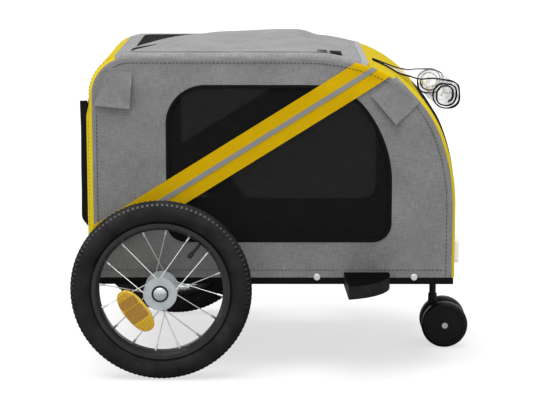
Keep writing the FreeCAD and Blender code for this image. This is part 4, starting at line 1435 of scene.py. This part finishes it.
        us = (cabin.rear_x + self.hem_inset, cabin.front_x - self.hem_inset)
        sheet = Fabric.grid("hem_tape" + self.tail, us, self.hem, self.hem_mesh, place)
        sheet.sew(BINDING, Hold.STRETCHED, self.cloth, wall=self.tape_wall)

    def window_tape(self) -> None:
        """The black tape sewn round the window's edge."""
        low, high = self.binding

        def place(u: float, v: float) -> Vector:
            """A flat tape with a rounded section.

            Args:
                u: Distance along the window's edge.
                v: Distance out from it.

            Returns:
                The point in space.
            """
            spot, out = self.window.at(u)
            spot = spot + out * v
            lift = self.binding_rise[0] + self.binding_rise[1] * bulge((v - low) / (high - low))
            return self.cabin.side(self.side, spot.x, spot.y, lift)

        sheet = Fabric.grid("window_tape" + self.tail, (0.0, self.window.length), (high, low), self.tape_mesh, place)
        sheet.close()
        sheet.sew(BINDING, Hold.STRETCHED, self.cloth, wall=self.tape_wall)

    def band(self, name: str, width: float, lift: float) -> Fabric:
        """A straight band along the strap's line, cut off at the side's edge.

        Args:
            name: The band's name.
            width: Its width.
            lift: Height above the side.

        Returns:
            The band's sheet.
        """
        cabin, way = self.cabin, self.way
        up = Vector((-way.y, way.x))
        field = cabin.field(cabin.edge - (cabin.side_edge - cabin.piping_edge), self.strap_step)
        columns, rows = self.strap_mesh
        flats = []
        for row in spread(-width / 2, width / 2, rows):
            start = Vector(self.strap_middle) + up * row
            flats += [(u, row) for u in spread(-reach(start, -way, field), reach(start, way, field), columns)]

        def place(u: float, v: float) -> Vector:
            """The point of the band on the side."""
            spot = Vector(self.strap_middle) + way * u + up * v
            return cabin.side(self.side, spot.x, spot.y, lift + self.pucker.at(u, v * self.pucker_across))

        return Fabric(name + self.tail, flats, grid_faces(columns, rows), place)

    def strap(self) -> None:
        """The yellow strap and the reflective stripe along it."""
        strap = self.band("strap_cloth", self.strap_width, self.strap_lift)
        strap.sew(STRAP_YELLOW, Hold.STRETCHED, self.cloth, "side_strap" + self.tail, wall=self.strap_wall)
        stripe = self.band("strap_stripe", self.stripe_width, self.stripe_lift)
        stripe.sew(SILVER_TAPE, Hold.LAID, ["strap_cloth" + self.tail], wall=self.stripe_wall)

    def patches(self) -> None:
        """The two loose corner patches, sewn along their outer edges."""
        for end, corners in (("rear", self.rear_patch), ("front", self.front_patch)):
            spots = [Vector(corner) for corner in corners]
            long, tall = (spots[1] - spots[0]).length, (spots[3] - spots[0]).length

            def place(u: float, v: float) -> Vector:
                """Between the four corners, lifted where the patch hangs free.

                Args:
                    u: Distance along the patch.
                    v: Distance up it.

                Returns:
                    The point in space.
                """
                across, up = u / long, v / tall
                flat = (spots[0] * (1 - across) + spots[1] * across) * (1 - up)
                flat += (spots[3] * (1 - across) + spots[2] * across) * up
                free = max(1 - up, across if end == "rear" else across * (1 - up))
                lift = self.patch_rise[0] + self.patch_rise[1] * free ** self.patch_power
                return self.cabin.side(self.side, flat.x, flat.y, lift)

            sheet = Fabric.grid("corner_patch_" + end + self.tail, (0.0, long), (0.0, tall), self.patch_mesh, place)
            sheet.sew(GREY_CLOTH, Hold.LAID, self.cloth, wall=self.strap_wall)

    def seams(self) -> None:
        """Stitches along the rounded edge, the hem and the rear edge."""
        cabin = self.cabin
        sign = self.side.value
        start = cabin.station(self.edge_seam)
        x, top = self.rear_seam
        low = cabin.hem_z + self.rear_seam_up

        def edge_path(along: float) -> Vector:
            """A line just inside the rounded edge, and over the strap where it crosses it.

            Args:
                along: Distance from the seam's start.

            Returns:
                The point in space.
            """
            spot = cabin.skin(start + along, sign * (cabin.side_edge + self.edge_seam_in), self.thread_lift)
            off = abs(self.way.cross(Vector((spot.x, spot.z)) - Vector(self.strap_middle)))
            return spot + Vector((0.0, sign * self.over_strap if off < self.strap_width / 2 else 0.0, 0.0))

        def hem_path(along: float) -> Vector:
            """A level line just above the hem."""
            return Vector((cabin.rear_x + self.hem_seam_in + along, sign * (cabin.half + self.thread_lift),
                           cabin.hem_z + self.hem_seam_up))

        def rear_path(along: float) -> Vector:
            """An upright line along the rear edge."""
            return cabin.side(self.side, x, low + along, self.rear_thread_lift)

        SEAM.seam("edge_stitches" + self.tail, THREAD, edge_path, cabin.outline.length - start)
        SEAM.seam("hem_stitches" + self.tail, THREAD, hem_path, cabin.front_x - cabin.rear_x - 2 * self.hem_seam_in)
        SEAM.seam("rear_edge_stitches" + self.tail, THREAD, rear_path, top - low)


@dataclass
class RoofDeck:
    """The grey roof with the sunroof's net and its loose cover."""

    cabin: Cabin
    span: Flat = (-0.307, 0.176)
    lap: float = 0.0005
    hole: Flat = (-0.275, 0.071)
    hole_half: float = 0.186
    hole_corner: float = 0.025
    net_lap: float = 0.004
    net_drop: float = 0.0016
    rays: int = 220
    net_mesh: Counts = (120, 8)
    flap_mesh: Counts = (200, 26)
    gap_shadow_mesh: Counts = (24, 6)
    tape_mesh: Counts = (4, 60)
    tab_mesh: Counts = (8, 10)
    shares: tuple[float, ...] = (0.0, 0.2, 0.4, 0.6, 0.76, 0.8, 0.84, 0.88, 0.92, 0.96, 1.0)
    flap: Flat = (-0.279, 0.101)
    flap_half: float = 0.190
    flap_corner: float = 0.025
    flap_edge: tuple[Flat, ...] = (
        (-0.110, 0.190), (-0.130, 0.1885), (-0.150, 0.180), (-0.171, 0.166), (-0.190, 0.147), (-0.206, 0.122),
        (-0.220, 0.092), (-0.232, 0.058), (-0.243, 0.022), (-0.253, -0.016), (-0.265, -0.058), (-0.273, -0.091),
        (-0.2775, -0.125), (-0.279, -0.160), (-0.274, -0.182), (-0.256, -0.190))
    flap_lift: float = 0.0008
    puff: float = 0.0065
    puff_in: float = 0.075
    waves: Wrinkle = Wrinkle(0.08, 0.003, 1.7)
    waves_across: float = 0.5
    fold: float = 0.0085
    fold_far: float = 0.040
    fold_near: Flat = (-0.020, 0.16)
    fold_rear: Flat = (0.08, 0.21)
    fold_front: float = 0.06
    # The black strip by the cover's rear edge: the dark net in the gap under the raised edge, and painted shadow.
    gap_shadow_line: tuple[Flat, ...] = ((-0.277, -0.166), (-0.276, -0.123), (-0.234, -0.090))
    gap_shadow_length: float = 0.092
    gap_shadow_half: float = 0.021
    gap_shadow_point: float = 0.9
    gap_shadow_lift: float = 0.0012
    gap_shadow_wall: float = 0.0006
    tape_width: float = 0.013
    tape_lift: float = 0.0006
    tape_wall: float = 0.0008
    tab: Flat = (0.079, 0.126)
    tab_head: Flat = (0.52, 1.0)
    tab_tail: Flat = (0.0, 0.38)
    tab_half: float = 0.036
    tab_line: Flat = (-0.180, 0.024)
    tab_rise: Flat = (0.0046, -0.003)
    tab_narrow: float = 0.1
    tab_wall: float = 0.001

    def build(self) -> None:
        """Makes the roof's pieces."""
        cabin = self.cabin
        hole = Opening(*map(cabin.station, self.hole), self.hole_half, self.hole_corner)
        span = tuple(map(cabin.station, self.span))
        sheet = cabin.panel("roof_cloth", span, self.lap, hole, self.rays, self.shares, cabin.inner)
        sheet.sew(GREY_CLOTH, Hold.STRETCHED, ["top_cross_tubes"], "roof_panel", wall=cabin.wall)
        net = Fabric.disc("roof_net", hole.centre, hole.edge(self.net_lap), *self.net_mesh,
                          lambda u, v: cabin.skin(u, v, -self.net_drop))
        net.sew(SCREEN_NET, Hold.STRETCHED, ["roof_cloth"], "roof_mesh")
        self.cover()
        self.seam_tape()
        self.tabs()

    def cover(self) -> None:
        """The sunroof's loose cover, bulged and wavy, fixed along its front edge."""
        cabin = self.cabin
        back, ahead = map(cabin.station, self.flap)
        half, small = self.flap_half, self.flap_corner
        edge = [Vector((cabin.station(x), y)) for x, y in self.flap_edge]
        edge += quarter_arc(ahead - small, small - half, small, 3) + quarter_arc(ahead - small, half - small, small, 0)

        def place(u: float, v: float) -> Vector:
            """Sewn down at the front, slack elsewhere and folded up on its far half.

            Args:
                u: Distance along the cabin's outline.
                v: Distance from the middle plane.

            Returns:
                The point in space.
            """
            inner = fade(gap_to(Vector((u, v)), edge), self.puff_in)
            wave = self.waves.at(u, v * self.waves_across)
            across = fade(half - v, self.fold_far) * fade(v - self.fold_near[0], self.fold_near[1])
            along = fade(u - back - self.fold_rear[0], self.fold_rear[1]) * fade(ahead - u, self.fold_front)
            return cabin.skin(u, v, self.flap_lift + max(self.puff + wave, 0.0) * inner + self.fold * across * along)

        sheet = Fabric.disc("roof_flap_cloth", Vector(((back + ahead) / 2, 0.0)), edge, *self.flap_mesh, place)
        sheet.sew(GREY_CLOTH, Hold.LAID, ["roof_cloth"], "roof_flap", wall=cabin.wall, body="roof_flap")
        # Black strip of painted shadow along the cover's rear edge.
        self.painted_gap_shadow(place)

    def painted_gap_shadow(self, cover: Place) -> None:
        """A black strip on the cover by its rear edge, pointed at its far end: partly the dark net seen under the
        raised edge, partly painted shadow of the gap.

        Args:
            cover: Where a flat point of the cover lies.
        """
        first, middle, last = (Vector((self.cabin.station(x), y)) for x, y in self.gap_shadow_line)

        def place(u: float, v: float) -> Vector:
            """Across a bent line.

            Args:
                u: Distance along the slit.
                v: Distance across it.

            Returns:
                The point in space.
            """
            share = u / self.gap_shadow_length
            line = first * (1 - share) ** 2 + middle * (2 * share * (1 - share)) + last * share ** 2
            return cover(line.x, line.y + v) + Vector((0.0, 0.0, self.gap_shadow_lift))

        columns, rows = self.gap_shadow_mesh
        us, vs = spread(0.0, self.gap_shadow_length, columns), spread(-self.gap_shadow_half, self.gap_shadow_half, rows)
        flats = [(u, v * (1 - self.gap_shadow_point * (u / self.gap_shadow_length) ** 2)) for v in vs for u in us]
        sheet = Fabric("roof_gap_painted_shadow", flats, grid_faces(columns, rows), place)
        sheet.sew(BINDING, Hold.LAID, ["roof_flap_cloth"], wall=self.gap_shadow_wall, body="roof_flap")

    def seam_tape(self) -> None:
        """The pale tape along the front seam."""
        cabin = self.cabin
        seam = cabin.station(self.span[1])
        tape = Fabric.grid("roof_seam_tape", (seam - self.tape_width, seam),
                           (-cabin.piping_edge, cabin.piping_edge), self.tape_mesh,
                           lambda u, v: cabin.skin(u, v, self.tape_lift))
        tape.sew(PALE_TAPE, Hold.LAID, ["roof_cloth"], wall=self.tape_wall)

    def tabs(self) -> None:
        """The black tab at the cover's front corner, parted where the cover folds up."""
        first, last = map(self.cabin.station, self.tab)

        def place(u: float, v: float) -> Vector:
            """A tongue that narrows towards the rear.

            Args:
                u: Distance along the cabin's outline.
                v: Distance from the tab's own line.

            Returns:
                The point in space.
            """
            share = (u - first) / (last - first)
            across, lift = (line[0] + line[1] * share for line in (self.tab_line, self.tab_rise))
            return self.cabin.skin(u, across + v, lift)

        for name, (low, high), body, under in (("roof_tab", self.tab_head, "frame", "roof_cloth"),
                                               ("roof_tab_tail", self.tab_tail, "roof_flap", "roof_flap_cloth")):
            columns, rows = self.tab_mesh
            flats = [(first + (last - first) * share, v * (self.tab_narrow + (1 - self.tab_narrow) * share * share))
                     for v in spread(-self.tab_half, self.tab_half, rows) for share in spread(low, high, columns)]
            tab = Fabric(name, flats, grid_faces(columns, rows), place)
            tab.sew(BLACK_CLOTH, Hold.LAID, [under], wall=self.tab_wall, body=body)


@dataclass
class FrontEnd:
    """The yellow front with its bulging black screen."""

    cabin: Cabin
    seam_x: float = 0.176
    lap: float = 0.0003
    screen: Flat = (0.525, 0.310)
    screen_half: float = 0.165
    screen_corner: float = 0.028
    screen_lap: float = 0.006
    screen_lift: float = 0.0006
    screen_bulge: float = 0.005
    bulge_in: float = 0.05
    rays: int = 260
    net_mesh: Counts = (160, 14)
    shares: tuple[float, ...] = (0.0, 0.12, 0.25, 0.38, 0.5, 0.62, 0.74, 0.8, 0.85, 0.9, 0.95, 1.0)

    def build(self) -> None:
        """Makes the front's pieces."""
        cabin, lap = self.cabin, self.screen_lap
        hole = Opening(*map(cabin.front_station, self.screen), self.screen_half, self.screen_corner)
        span = (cabin.station(self.seam_x), cabin.outline.length)
        sheet = cabin.panel("front_cloth", span, self.lap, hole, self.rays, self.shares, cabin.inner)
        sheet.sew(EDGE_YELLOW, Hold.STRETCHED, HOOPS, "front_border", wall=cabin.wall)

        def place(u: float, v: float) -> Vector:
            """Pushed out from inside, most in the middle."""
            inside = min(u - hole.first + lap, hole.last + lap - u, hole.half + lap - abs(v))
            return cabin.skin(u, v, self.screen_lift + self.screen_bulge * fade(inside, self.bulge_in))

        net = Fabric.disc("front_net", hole.centre, hole.edge(lap, lap), *self.net_mesh, place)
        net.sew(SCREEN_NET, Hold.STRETCHED, ["front_cloth"], "front_screen")


@dataclass
class RearEnd:
    """The yellow rear with its door and the door's pocket."""

    cabin: Cabin
    seam_x: float = -0.307
    lap: float = 0.0003
    door: Flat = (0.241, 0.538)
    door_half: float = 0.155
    door_corner: float = 0.030
    door_gap: float = 0.001
    rays: int = 260
    door_mesh: Counts = (120, 10)
    pocket_mesh: Counts = (50, 44)
    shares: tuple[float, ...] = (0.0, 0.12, 0.25, 0.38, 0.5, 0.6, 0.7, 0.78, 0.84, 0.89, 0.93, 0.97, 1.0)
    puff: float = 0.008
    puff_side: float = 0.036
    puff_foot: float = 0.05
    puff_head: float = 0.045
    puff_high: float = 0.537
    seam_inset: float = 0.012
    thread_lift: Triple = (-0.0008, 0.0, 0.0004)
    pocket_low: float = 0.255
    pocket_high: float = 0.5235
    pocket_half: float = 0.145
    pocket_depth: float = 0.015
    pocket_lift: float = 0.0012
    pocket_side: float = 0.008
    pocket_foot: float = 0.03
    pocket_gape: float = 0.04
    pocket_round: float = 0.02
    pocket_power: int = 4
    pocket_sag: float = 0.026
    pocket_wall: float = 0.0014
    folds: Wrinkle = Wrinkle(0.05, 0.0018, 7.9)
    folds_up: float = 0.6

    def place(self, u: float, v: float) -> Vector:
        """A point of the rear's cloth, puffed out inside its edges.

        Args:
            u: Distance along the cabin's outline.
            v: Distance from the middle plane.

        Returns:
            The point in space.
        """
        spot = self.cabin.inner(u, v)
        inside = fade(self.cabin.half - abs(spot.y), self.puff_side) * fade(spot.z - self.cabin.hem_z, self.puff_foot)
        return spot - Vector((self.puff * inside * fade(self.puff_high - spot.z, self.puff_head), 0.0, 0.0))

    def build(self) -> None:
        """Makes the rear's pieces."""
        cabin = self.cabin
        stop = cabin.station(self.seam_x)
        first, last = (z - cabin.hem_z for z in self.door)
        hole = Opening(first, last, self.door_half, self.door_corner)
        sheet = cabin.panel("rear_cloth", (0.0, stop), self.lap, hole, self.rays, self.shares, self.place)
        sheet.sew(EDGE_YELLOW, Hold.STRETCHED, HOOPS, "rear_border", wall=cabin.wall)
        door = Fabric.disc("door_cloth", hole.centre, hole.edge(-self.door_gap), *self.door_mesh, self.place)
        door.sew(BLACK_CLOTH, Hold.HUNG, ["rear_cloth"], "rear_door", wall=cabin.wall, body="rear_door")
        for side in Side:
            line = side.value * (cabin.piping_edge - self.seam_inset)
            SEAM.seam("rear_stitches" + side.tail, YELLOW_THREAD,
                      lambda along: self.place(along, line) + Vector(self.thread_lift), stop)
        self.pocket()

    def pocket(self) -> None:
        """The door's pocket: a bag that stands out most low down, open along its top."""
        low, high, half = self.pocket_low, self.pocket_high, self.pocket_half

        def place(y: float, z: float) -> Vector:
            """Sewn down at its sides and foot and gaping at the top.

            Args:
                y: Place across the trailer.
                z: Height, before the bag sags.

            Returns:
                The point in space.
            """
            share = (z - low) / (high - low)
            sewn = fade(half - abs(y), self.pocket_side) * fade(z - low, self.pocket_foot)
            out = self.pocket_depth * (1 - self.pocket_gape * share) + self.folds.at(0.0, y, z * self.folds_up)
            drop = self.pocket_round * (1 - math.sqrt(max(1 - (y / half) ** self.pocket_power, 0.0))) * (1 - share)
            sag = self.pocket_sag * (1 - abs(y) / half) * share * share
            return Vector((self.cabin.rear_x - self.puff - self.pocket_lift - out * sewn, y, z + drop - sag))

        bag = Fabric.grid("pocket_cloth", (-half, half), (low, high), self.pocket_mesh, place)
        bag.sew(BLACK_CLOTH, Hold.HUNG, ["door_cloth"], "rear_pocket", wall=self.pocket_wall, body="rear_door")


@dataclass
class RainCover:
    """The clear rain cover: a flap off the brow that ends in a loose roll, with black edges."""

    cabin: Cabin
    sewn: Flat = (0.188, 0.230)
    sewn_points: int = 12
    sewn_lift: float = 0.0022
    level: Flat = (0.298, 0.5625)
    handles: tuple[float, ...] = (0.014, 0.030, 0.026, 0.014)
    flap_points: Counts = (21, 17)
    mesh: Counts = (230, 60)
    tape_mesh: Counts = (230, 5)
    centre: Flat = (0.3258, 0.5315)
    radius: float = 0.0288
    layer: float = 0.0062
    turns: float = 2.35
    steps: int = 60
    square: float = 2.6
    squared: float = 0.75
    slack: float = 0.9724770642
    entry: float = math.radians(50.0)
    half: float = 0.115
    tape: Flat = (-0.001, 0.006)
    tape_wall: float = 0.0026
    creases: Wrinkle = Wrinkle(0.02, 0.0022, 4.4)
    crease_in: float = 0.03
    skew: float = 0.0062
    gather: float = 0.06
    fan: float = 0.13
    far_drop: float = 0.006
    drop_in: float = 0.05
    drop_early: float = 0.03

    def __post_init__(self) -> None:
        """Draws the cover's section: sewn to the brow, out to a level, down into the roll and round it."""
        cabin = self.cabin
        points = []
        for station in spread(*map(cabin.station, self.sewn), self.sewn_points):
            spot, out = cabin.outline.at(station)
            points.append(spot + out * self.sewn_lift)
        down = (points[-1] - points[-2]).normalized()
        level, centre, ahead = Vector(self.level), Vector(self.centre), Vector((1.0, 0.0))
        into = centre + self.radius * towards(self.entry)
        turn = Vector((math.sin(self.entry), -math.cos(self.entry)))
        off, rise, fall, land = self.handles
        edge = points[-1]
        out, back = self.flap_points
        points += interpolate_bezier(edge, edge + down * off, level - ahead * rise, level, out)[1:]
        points += interpolate_bezier(level, level + ahead * fall, into - turn * land, into, back)[1:]
        flap = len(points)
        for number in range(1, int(self.steps * self.turns)):
            angle = TURN * number / self.steps
            way = self.entry - angle
            shape = 1 - self.squared + self.squared * round_off(way, self.square)
            points.append(centre + (self.radius - self.layer * angle / TURN) * shape * self.slack * towards(way))
        self.trail = Outline([Run(first, second) for first, second in zip(points, points[1:])])
        self.lead = self.trail.starts[self.sewn_points - 1]
        self.rolled = self.trail.starts[flap]

    def place(self, u: float, v: float) -> Vector:
        """A point of the cover, creased and a little askew.

        Args:
            u: Distance from the sewn edge.
            v: Distance from the cover's middle line.

        Returns:
            The point in space.
        """
        spot, out = self.trail.at(u)
        share = fade(u - self.lead, self.rolled - self.lead)
        spot = spot + out * (self.creases.at(u, v) * fade(u - self.lead, self.crease_in))
        core = min(max(v, -self.half), self.half)
        y = (core + self.half) * (self.gather + (1 - self.gather) * fade(u, self.fan)) + v - core - self.half
        loose = fade(u - self.lead, self.drop_in) * (1 - fade(u - self.rolled + self.drop_early, self.drop_in))
        fall = self.far_drop * loose * (y + self.half) / (2 * self.half)
        return Vector((spot.x - v / self.half * self.skew * share, y, spot.y - fall))

    def build(self) -> None:
        """Makes the clear sheet and its black edges."""
        us = (0.0, self.trail.length)
        sheet = Fabric.grid("rain_sheet", us, (-self.half, self.half), self.mesh, self.place)
        sheet.sew(CLEAR_VINYL, Hold.FOLDED, ["front_cloth"], "rain_cover")
        for side in Side:
            inner, outer = (side.value * (self.half + over) for over in self.tape)
            tape = Fabric.grid("rain_tape" + side.tail, us, (inner, outer), self.tape_mesh, self.place)
            nodes = ["rain_cover_binding"] if side is Side.RIGHT else []
            tape.sew(BINDING, Hold.FOLDED, ["rain_sheet"], *nodes, wall=self.tape_wall)


# Wheels

@dataclass
class RoadWheel:
    """A spoked wheel's tyre with its tread and shoulder lugs, and the reflector on its spokes."""

    side: Side
    section: float = 0.0222
    tread: float = 0.0006
    bead: float = 0.32
    wall_ridge: float = 1.05
    ridge_at: Flat = (0.55, 0.0012)
    lug: Triple = (0.0052, 0.0070, 0.0024)
    lug_bevel: float = 0.0007
    tread_rows: Flat = (-14.0, 14.0)
    shoulder_rows: Flat = (-41.0, 41.0)
    count: int = 112
    section_points: int = 48
    spin_steps: int = 144
    glint_points: int = 64
    glint_length: float = 0.094
    glint_width: float = 0.050
    glint_depth: float = 0.006
    glint_bevel: float = 0.0026
    glint_round: float = 2.3
    glint_stand: float = 0.0172
    glint_lean: float = math.radians(52.0)
    glint_tilt: float = math.radians(19.0)
    panels: tuple[Flat, ...] = ((-0.0198, 0.0184), (0.0053, 0.0296))
    rib: Flat = (-0.0100, 0.0014)
    bars: tuple[float, ...] = (-0.0405, -0.0365, -0.0325, 0.0240, 0.0285, 0.0330, 0.0375, 0.0415)
    bar_width: float = 0.0016
    panel_size: Flat = (0.86, 0.0008)
    rib_size: Flat = (0.84, 0.0017)
    part_bevel: float = 0.12

    def build(self) -> None:
        """Makes the tyre, its lugs and the reflector."""
        low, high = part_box("tyre" + self.side.tail)
        self.middle = (low + high) / 2
        self.ring = (high.x - low.x) / 2 - self.tread - self.section
        self.body = "wheel" + self.side.tail
        self.tyre()
        self.lugs("tyre_lugs", TYRE_RUBBER, self.tread_rows)
        self.lugs("tyre_shoulder_lugs", LUG_RUBBER, self.shoulder_rows)
        self.reflector()

    def tyre(self) -> None:
        """The body of the tyre: its section drawn as a circle, narrowed to the bead, and spun."""
        bpy.ops.mesh.primitive_circle_add(vertices=self.section_points, radius=self.section,
                                          rotation=(0.0, QUARTER, 0.0))
        thing = bpy.context.object
        thing.name = "tyre_body" + self.side.tail
        settle(thing)
        for corner in thing.data.vertices:
            if corner.co.z < 0:
                corner.co.y *= 1 - self.bead * (corner.co.z / self.section) ** 2
            if abs(corner.co.z + self.ridge_at[0] * self.section) < self.ridge_at[1]:
                corner.co.y *= self.wall_ridge
        thing.data.transform(Matrix.Translation(self.middle + Vector((0.0, 0.0, self.ring))))
        edit(thing, lambda: bpy.ops.mesh.spin(steps=self.spin_steps, angle=TURN, center=self.middle, axis=(0, 1, 0)),
             lambda: bpy.ops.mesh.remove_doubles(threshold=WELD), outwards)
        smooth(thing)
        fit(thing, TYRE_RUBBER, self.body, "tyre" + self.side.tail)

    def lugs(self, name: str, finish: Finish, rows: Sequence[float]) -> None:
        """Rows of small blocks round the tread.

        Args:
            name: The blocks' name.
            finish: Their finish.
            rows: Where each row lies on the section, in degrees from its top.
        """
        pattern = block_pattern(self.lug, self.lug_bevel)
        height = Matrix.Translation((0.0, 0.0, self.section + self.tread - self.lug[2] / 2))
        places = []
        for row, degrees in enumerate(rows):
            for number in range(self.count):
                turn = TURN * (number + 0.5 * (row % 2)) / self.count
                places.append(Matrix.Translation(self.middle) @ Matrix.Rotation(turn, 4, "Y")
                              @ Matrix.Translation((0.0, 0.0, self.ring))
                              @ Matrix.Rotation(math.radians(degrees), 4, "X") @ height)
        fit(copies(name + self.side.tail, pattern, places), finish, self.body)

    def stand(self) -> Matrix:
        """Places the reflector on the outer spokes.

        Returns:
            The place, with X along the reflector, Y inwards and Z across it.
        """
        low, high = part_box("spoke_reflector" + self.side.tail)
        out = self.side.value
        face = (low.y if out < 0 else high.y) + out * self.glint_stand
        centre = Vector(((low.x + high.x) / 2, face, (low.z + high.z) / 2))
        spoke = Vector((centre.x - self.middle.x, 0.0, centre.z - self.middle.z)).normalized()
        inward = Vector((0.0, math.cos(self.glint_tilt), 0.0)) + spoke * (out * math.sin(self.glint_tilt))
        long = Vector((math.cos(self.glint_lean), 0.0, -math.sin(self.glint_lean)))
        long = (long - inward * long.dot(inward)).normalized()
        return Matrix.Translation(centre) @ Matrix((long, inward, long.cross(inward))).transposed().to_4x4()

    def reflector(self) -> None:
        """The amber reflector clipped on the outer spokes: a bevelled body, two panels, a rib and ridged ends."""
        stand = self.stand()
        bpy.ops.mesh.primitive_cylinder_add(vertices=self.glint_points, radius=0.5, depth=1.0,
                                            rotation=(QUARTER, 0.0, 0.0))
        body = bpy.context.object
        body.name = "glint_body" + self.side.tail
        settle(body)
        for corner in body.data.vertices:
            turn = math.atan2(corner.co.z, corner.co.x)
            rim = round_off(turn, self.glint_round)
            corner.co = Vector((math.cos(turn) * rim * self.glint_length / 2,
                                (corner.co.y - 0.5 * self.side.value) * self.glint_depth,
                                math.sin(turn) * rim * self.glint_width / 2))
        apply(body, "BEVEL", width=self.glint_bevel, segments=3, limit_method="ANGLE")
        body.data.transform(stand)
        smooth(body)
        fit(body, AMBER_END, self.body, "spoke_reflector" + self.side.tail)
        ribs = (self.rib, *((at, self.bar_width) for at in self.bars))
        self.glint_parts("glint_panels", AMBER, stand, self.panels, *self.panel_size)
        self.glint_parts("glint_ribs", AMBER_END, stand, ribs, *self.rib_size)

    def glint_parts(self, name: str, finish: Finish, stand: Matrix, spans: Sequence[Flat], share: float,
                    height: float) -> None:
        """Blocks across the reflector's face, each as long as the face is wide there.

        Args:
            name: The pieces' name.
            finish: Their finish.
            stand: The reflector's place.
            spans: Middle and width of each block along the reflector.
            share: How much of the face's width they take.
            height: How far they stand out of the face.
        """
        places = []
        power = self.glint_round
        for at, wide in spans:
            chord = self.glint_width * (1 - (abs(at) / (self.glint_length / 2)) ** power) ** (1 / power) * share
            size = Matrix.Diagonal((wide, 2 * height, chord, 1.0))
            places.append(stand @ Matrix.Translation((at, 0.0, 0.0)) @ size)
        thing = copies(name + self.side.tail, block_pattern((1.0, 1.0, 1.0), self.part_bevel), places)
        edit(thing, outwards)
        fit(thing, finish, self.body)


CAD_FINISHES: dict[Finish, tuple[str, ...]] = {
    POWDER_BLACK: ("base_rail", "base_cross_tubes", "hoop", "top_cross_tubes", "axle_tube", "caster_socket",
                   "drawbar_socket"),
    BOARD: ("floor_board",), SCREW_STEEL: ("rail_screws",), DEFLECTOR_BLACK: ("wheel_deflector",),
    WHITE: ("front_reflectors",), RED: ("rear_reflectors",), RIM_BLACK: ("rim",), HUB_ZINC: ("hub",),
    SPOKE_STEEL: ("spokes",), SEAL_RUBBER: ("valve", "release_seal"),
    ZINC: ("axle_bolts", "bearings", "axle", "release_button", "caster_axle"),
    CASTER_BLACK: ("caster_wheel", "caster_fork", "caster_stem")}


def dress_solids() -> None:
    """Gives each CAD node that stays in sight its finish."""
    finishes = {node: finish for finish, nodes in CAD_FINISHES.items() for node in nodes}
    for name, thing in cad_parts.items():
        finish = finishes.get(name.removesuffix("_right").removesuffix("_left"))
        if finish:
            for slot in thing.material_slots:
                slot.material = finish.material()
            log.info("%s: %s", name, finish.name)


@dataclass
class Studio:
    """Plain light, a white floor that keeps the shadow, and the photo's camera."""

    sky: float = 0.58
    sun: float = 2.7
    sun_from: Triple = (-0.15, -0.15, 0.975)
    sun_spread: float = math.radians(55.0)
    camera_at: Triple = (-0.001, -3.707, 0.980)
    camera_dip: float = math.radians(10.54)
    camera_turn: float = math.radians(0.21)
    lens: float = 123.82
    sensor: float = 36.0
    floor_size: float = 60.0
    floor_colour: float = 0.37
    floor_glow: float = 0.66

    def build(self) -> None:
        """Sets up the light, the floor and the camera."""
        self.world()
        self.light()
        self.floor()
        self.camera()
        bpy.context.scene.view_settings.view_transform = "Standard"
        log.info("studio ready")

    def world(self) -> None:
        """White where it is seen, and a level grey as a light."""
        world = bpy.data.worlds.new("studio_white")
        world.use_nodes = True
        bpy.context.scene.world = world
        bench = Bench(world.node_tree)
        path = bench.add("LightPath").outputs
        mirrored = bench.math("MAXIMUM", path["Is Glossy Ray"], path["Is Transmission Ray"])
        seen = bench.math("MAXIMUM", path["Is Camera Ray"], mirrored)
        strength = bench.range(seen, (0.0, 1.0), self.sky)
        shade = bench.add("Background", {"Color": (*grey(1.0), 1.0), "Strength": strength})
        bench.add("OutputWorld", {0: shade.outputs[0]})

    def light(self) -> None:
        """One soft lamp from above."""
        lamp = bpy.data.lights.new("soft_top_lamp", "SUN")
        lamp.energy = self.sun
        lamp.angle = self.sun_spread
        thing = link("soft_top_lamp", lamp)
        thing.rotation_mode = "QUATERNION"
        thing.rotation_quaternion = Vector(self.sun_from).to_track_quat("Z", "Y")

    def floor(self) -> None:
        """A white floor that fills the view."""
        bpy.ops.mesh.primitive_plane_add(size=self.floor_size)
        thing = bpy.context.object
        thing.name = "studio_floor"
        made = bpy.data.materials.new("studio_floor_white")
        made.use_nodes = True
        bench = Bench(made.node_tree)
        glow = bench.math("MULTIPLY", bench.add("LightPath").outputs["Is Camera Ray"], self.floor_glow)
        shader = bench.add("BsdfPrincipled", {
            "Base Color": (*grey(self.floor_colour), 1.0), "Roughness": 1.0, "Specular IOR Level": 0.0,
            "Emission Color": (*grey(1.0), 1.0), "Emission Strength": glow})
        bench.add("OutputMaterial", {0: shader.outputs[0]})
        thing.data.materials.append(made)

    def camera(self) -> None:
        """The camera, where the photo was taken from."""
        data = bpy.data.cameras.new("photo_camera")
        data.lens = self.lens
        data.sensor_width = self.sensor
        thing = link("photo_camera", data)
        thing.location = self.camera_at
        thing.rotation_euler = (QUARTER - self.camera_dip, 0.0, self.camera_turn)
        bpy.context.scene.camera = thing


def main() -> None:
    """Builds the trailer's visual."""
    logging.basicConfig(level=logging.INFO, format="%(message)s")
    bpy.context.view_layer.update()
    Studio().build()
    dress_solids()
    cabin = Cabin()
    for side in Side:
        SideWall(cabin, side).build()
        RoadWheel(side).build()
    for part in (RoofDeck, FrontEnd, RearEnd, RainCover):
        part(cabin).build()
    for piece, node in (("strap_stripe_right", "reflective_stripes"), ("corner_patch_rear_right", "corner_patches")):
        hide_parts(node)


if __name__ == "__main__":
    main()
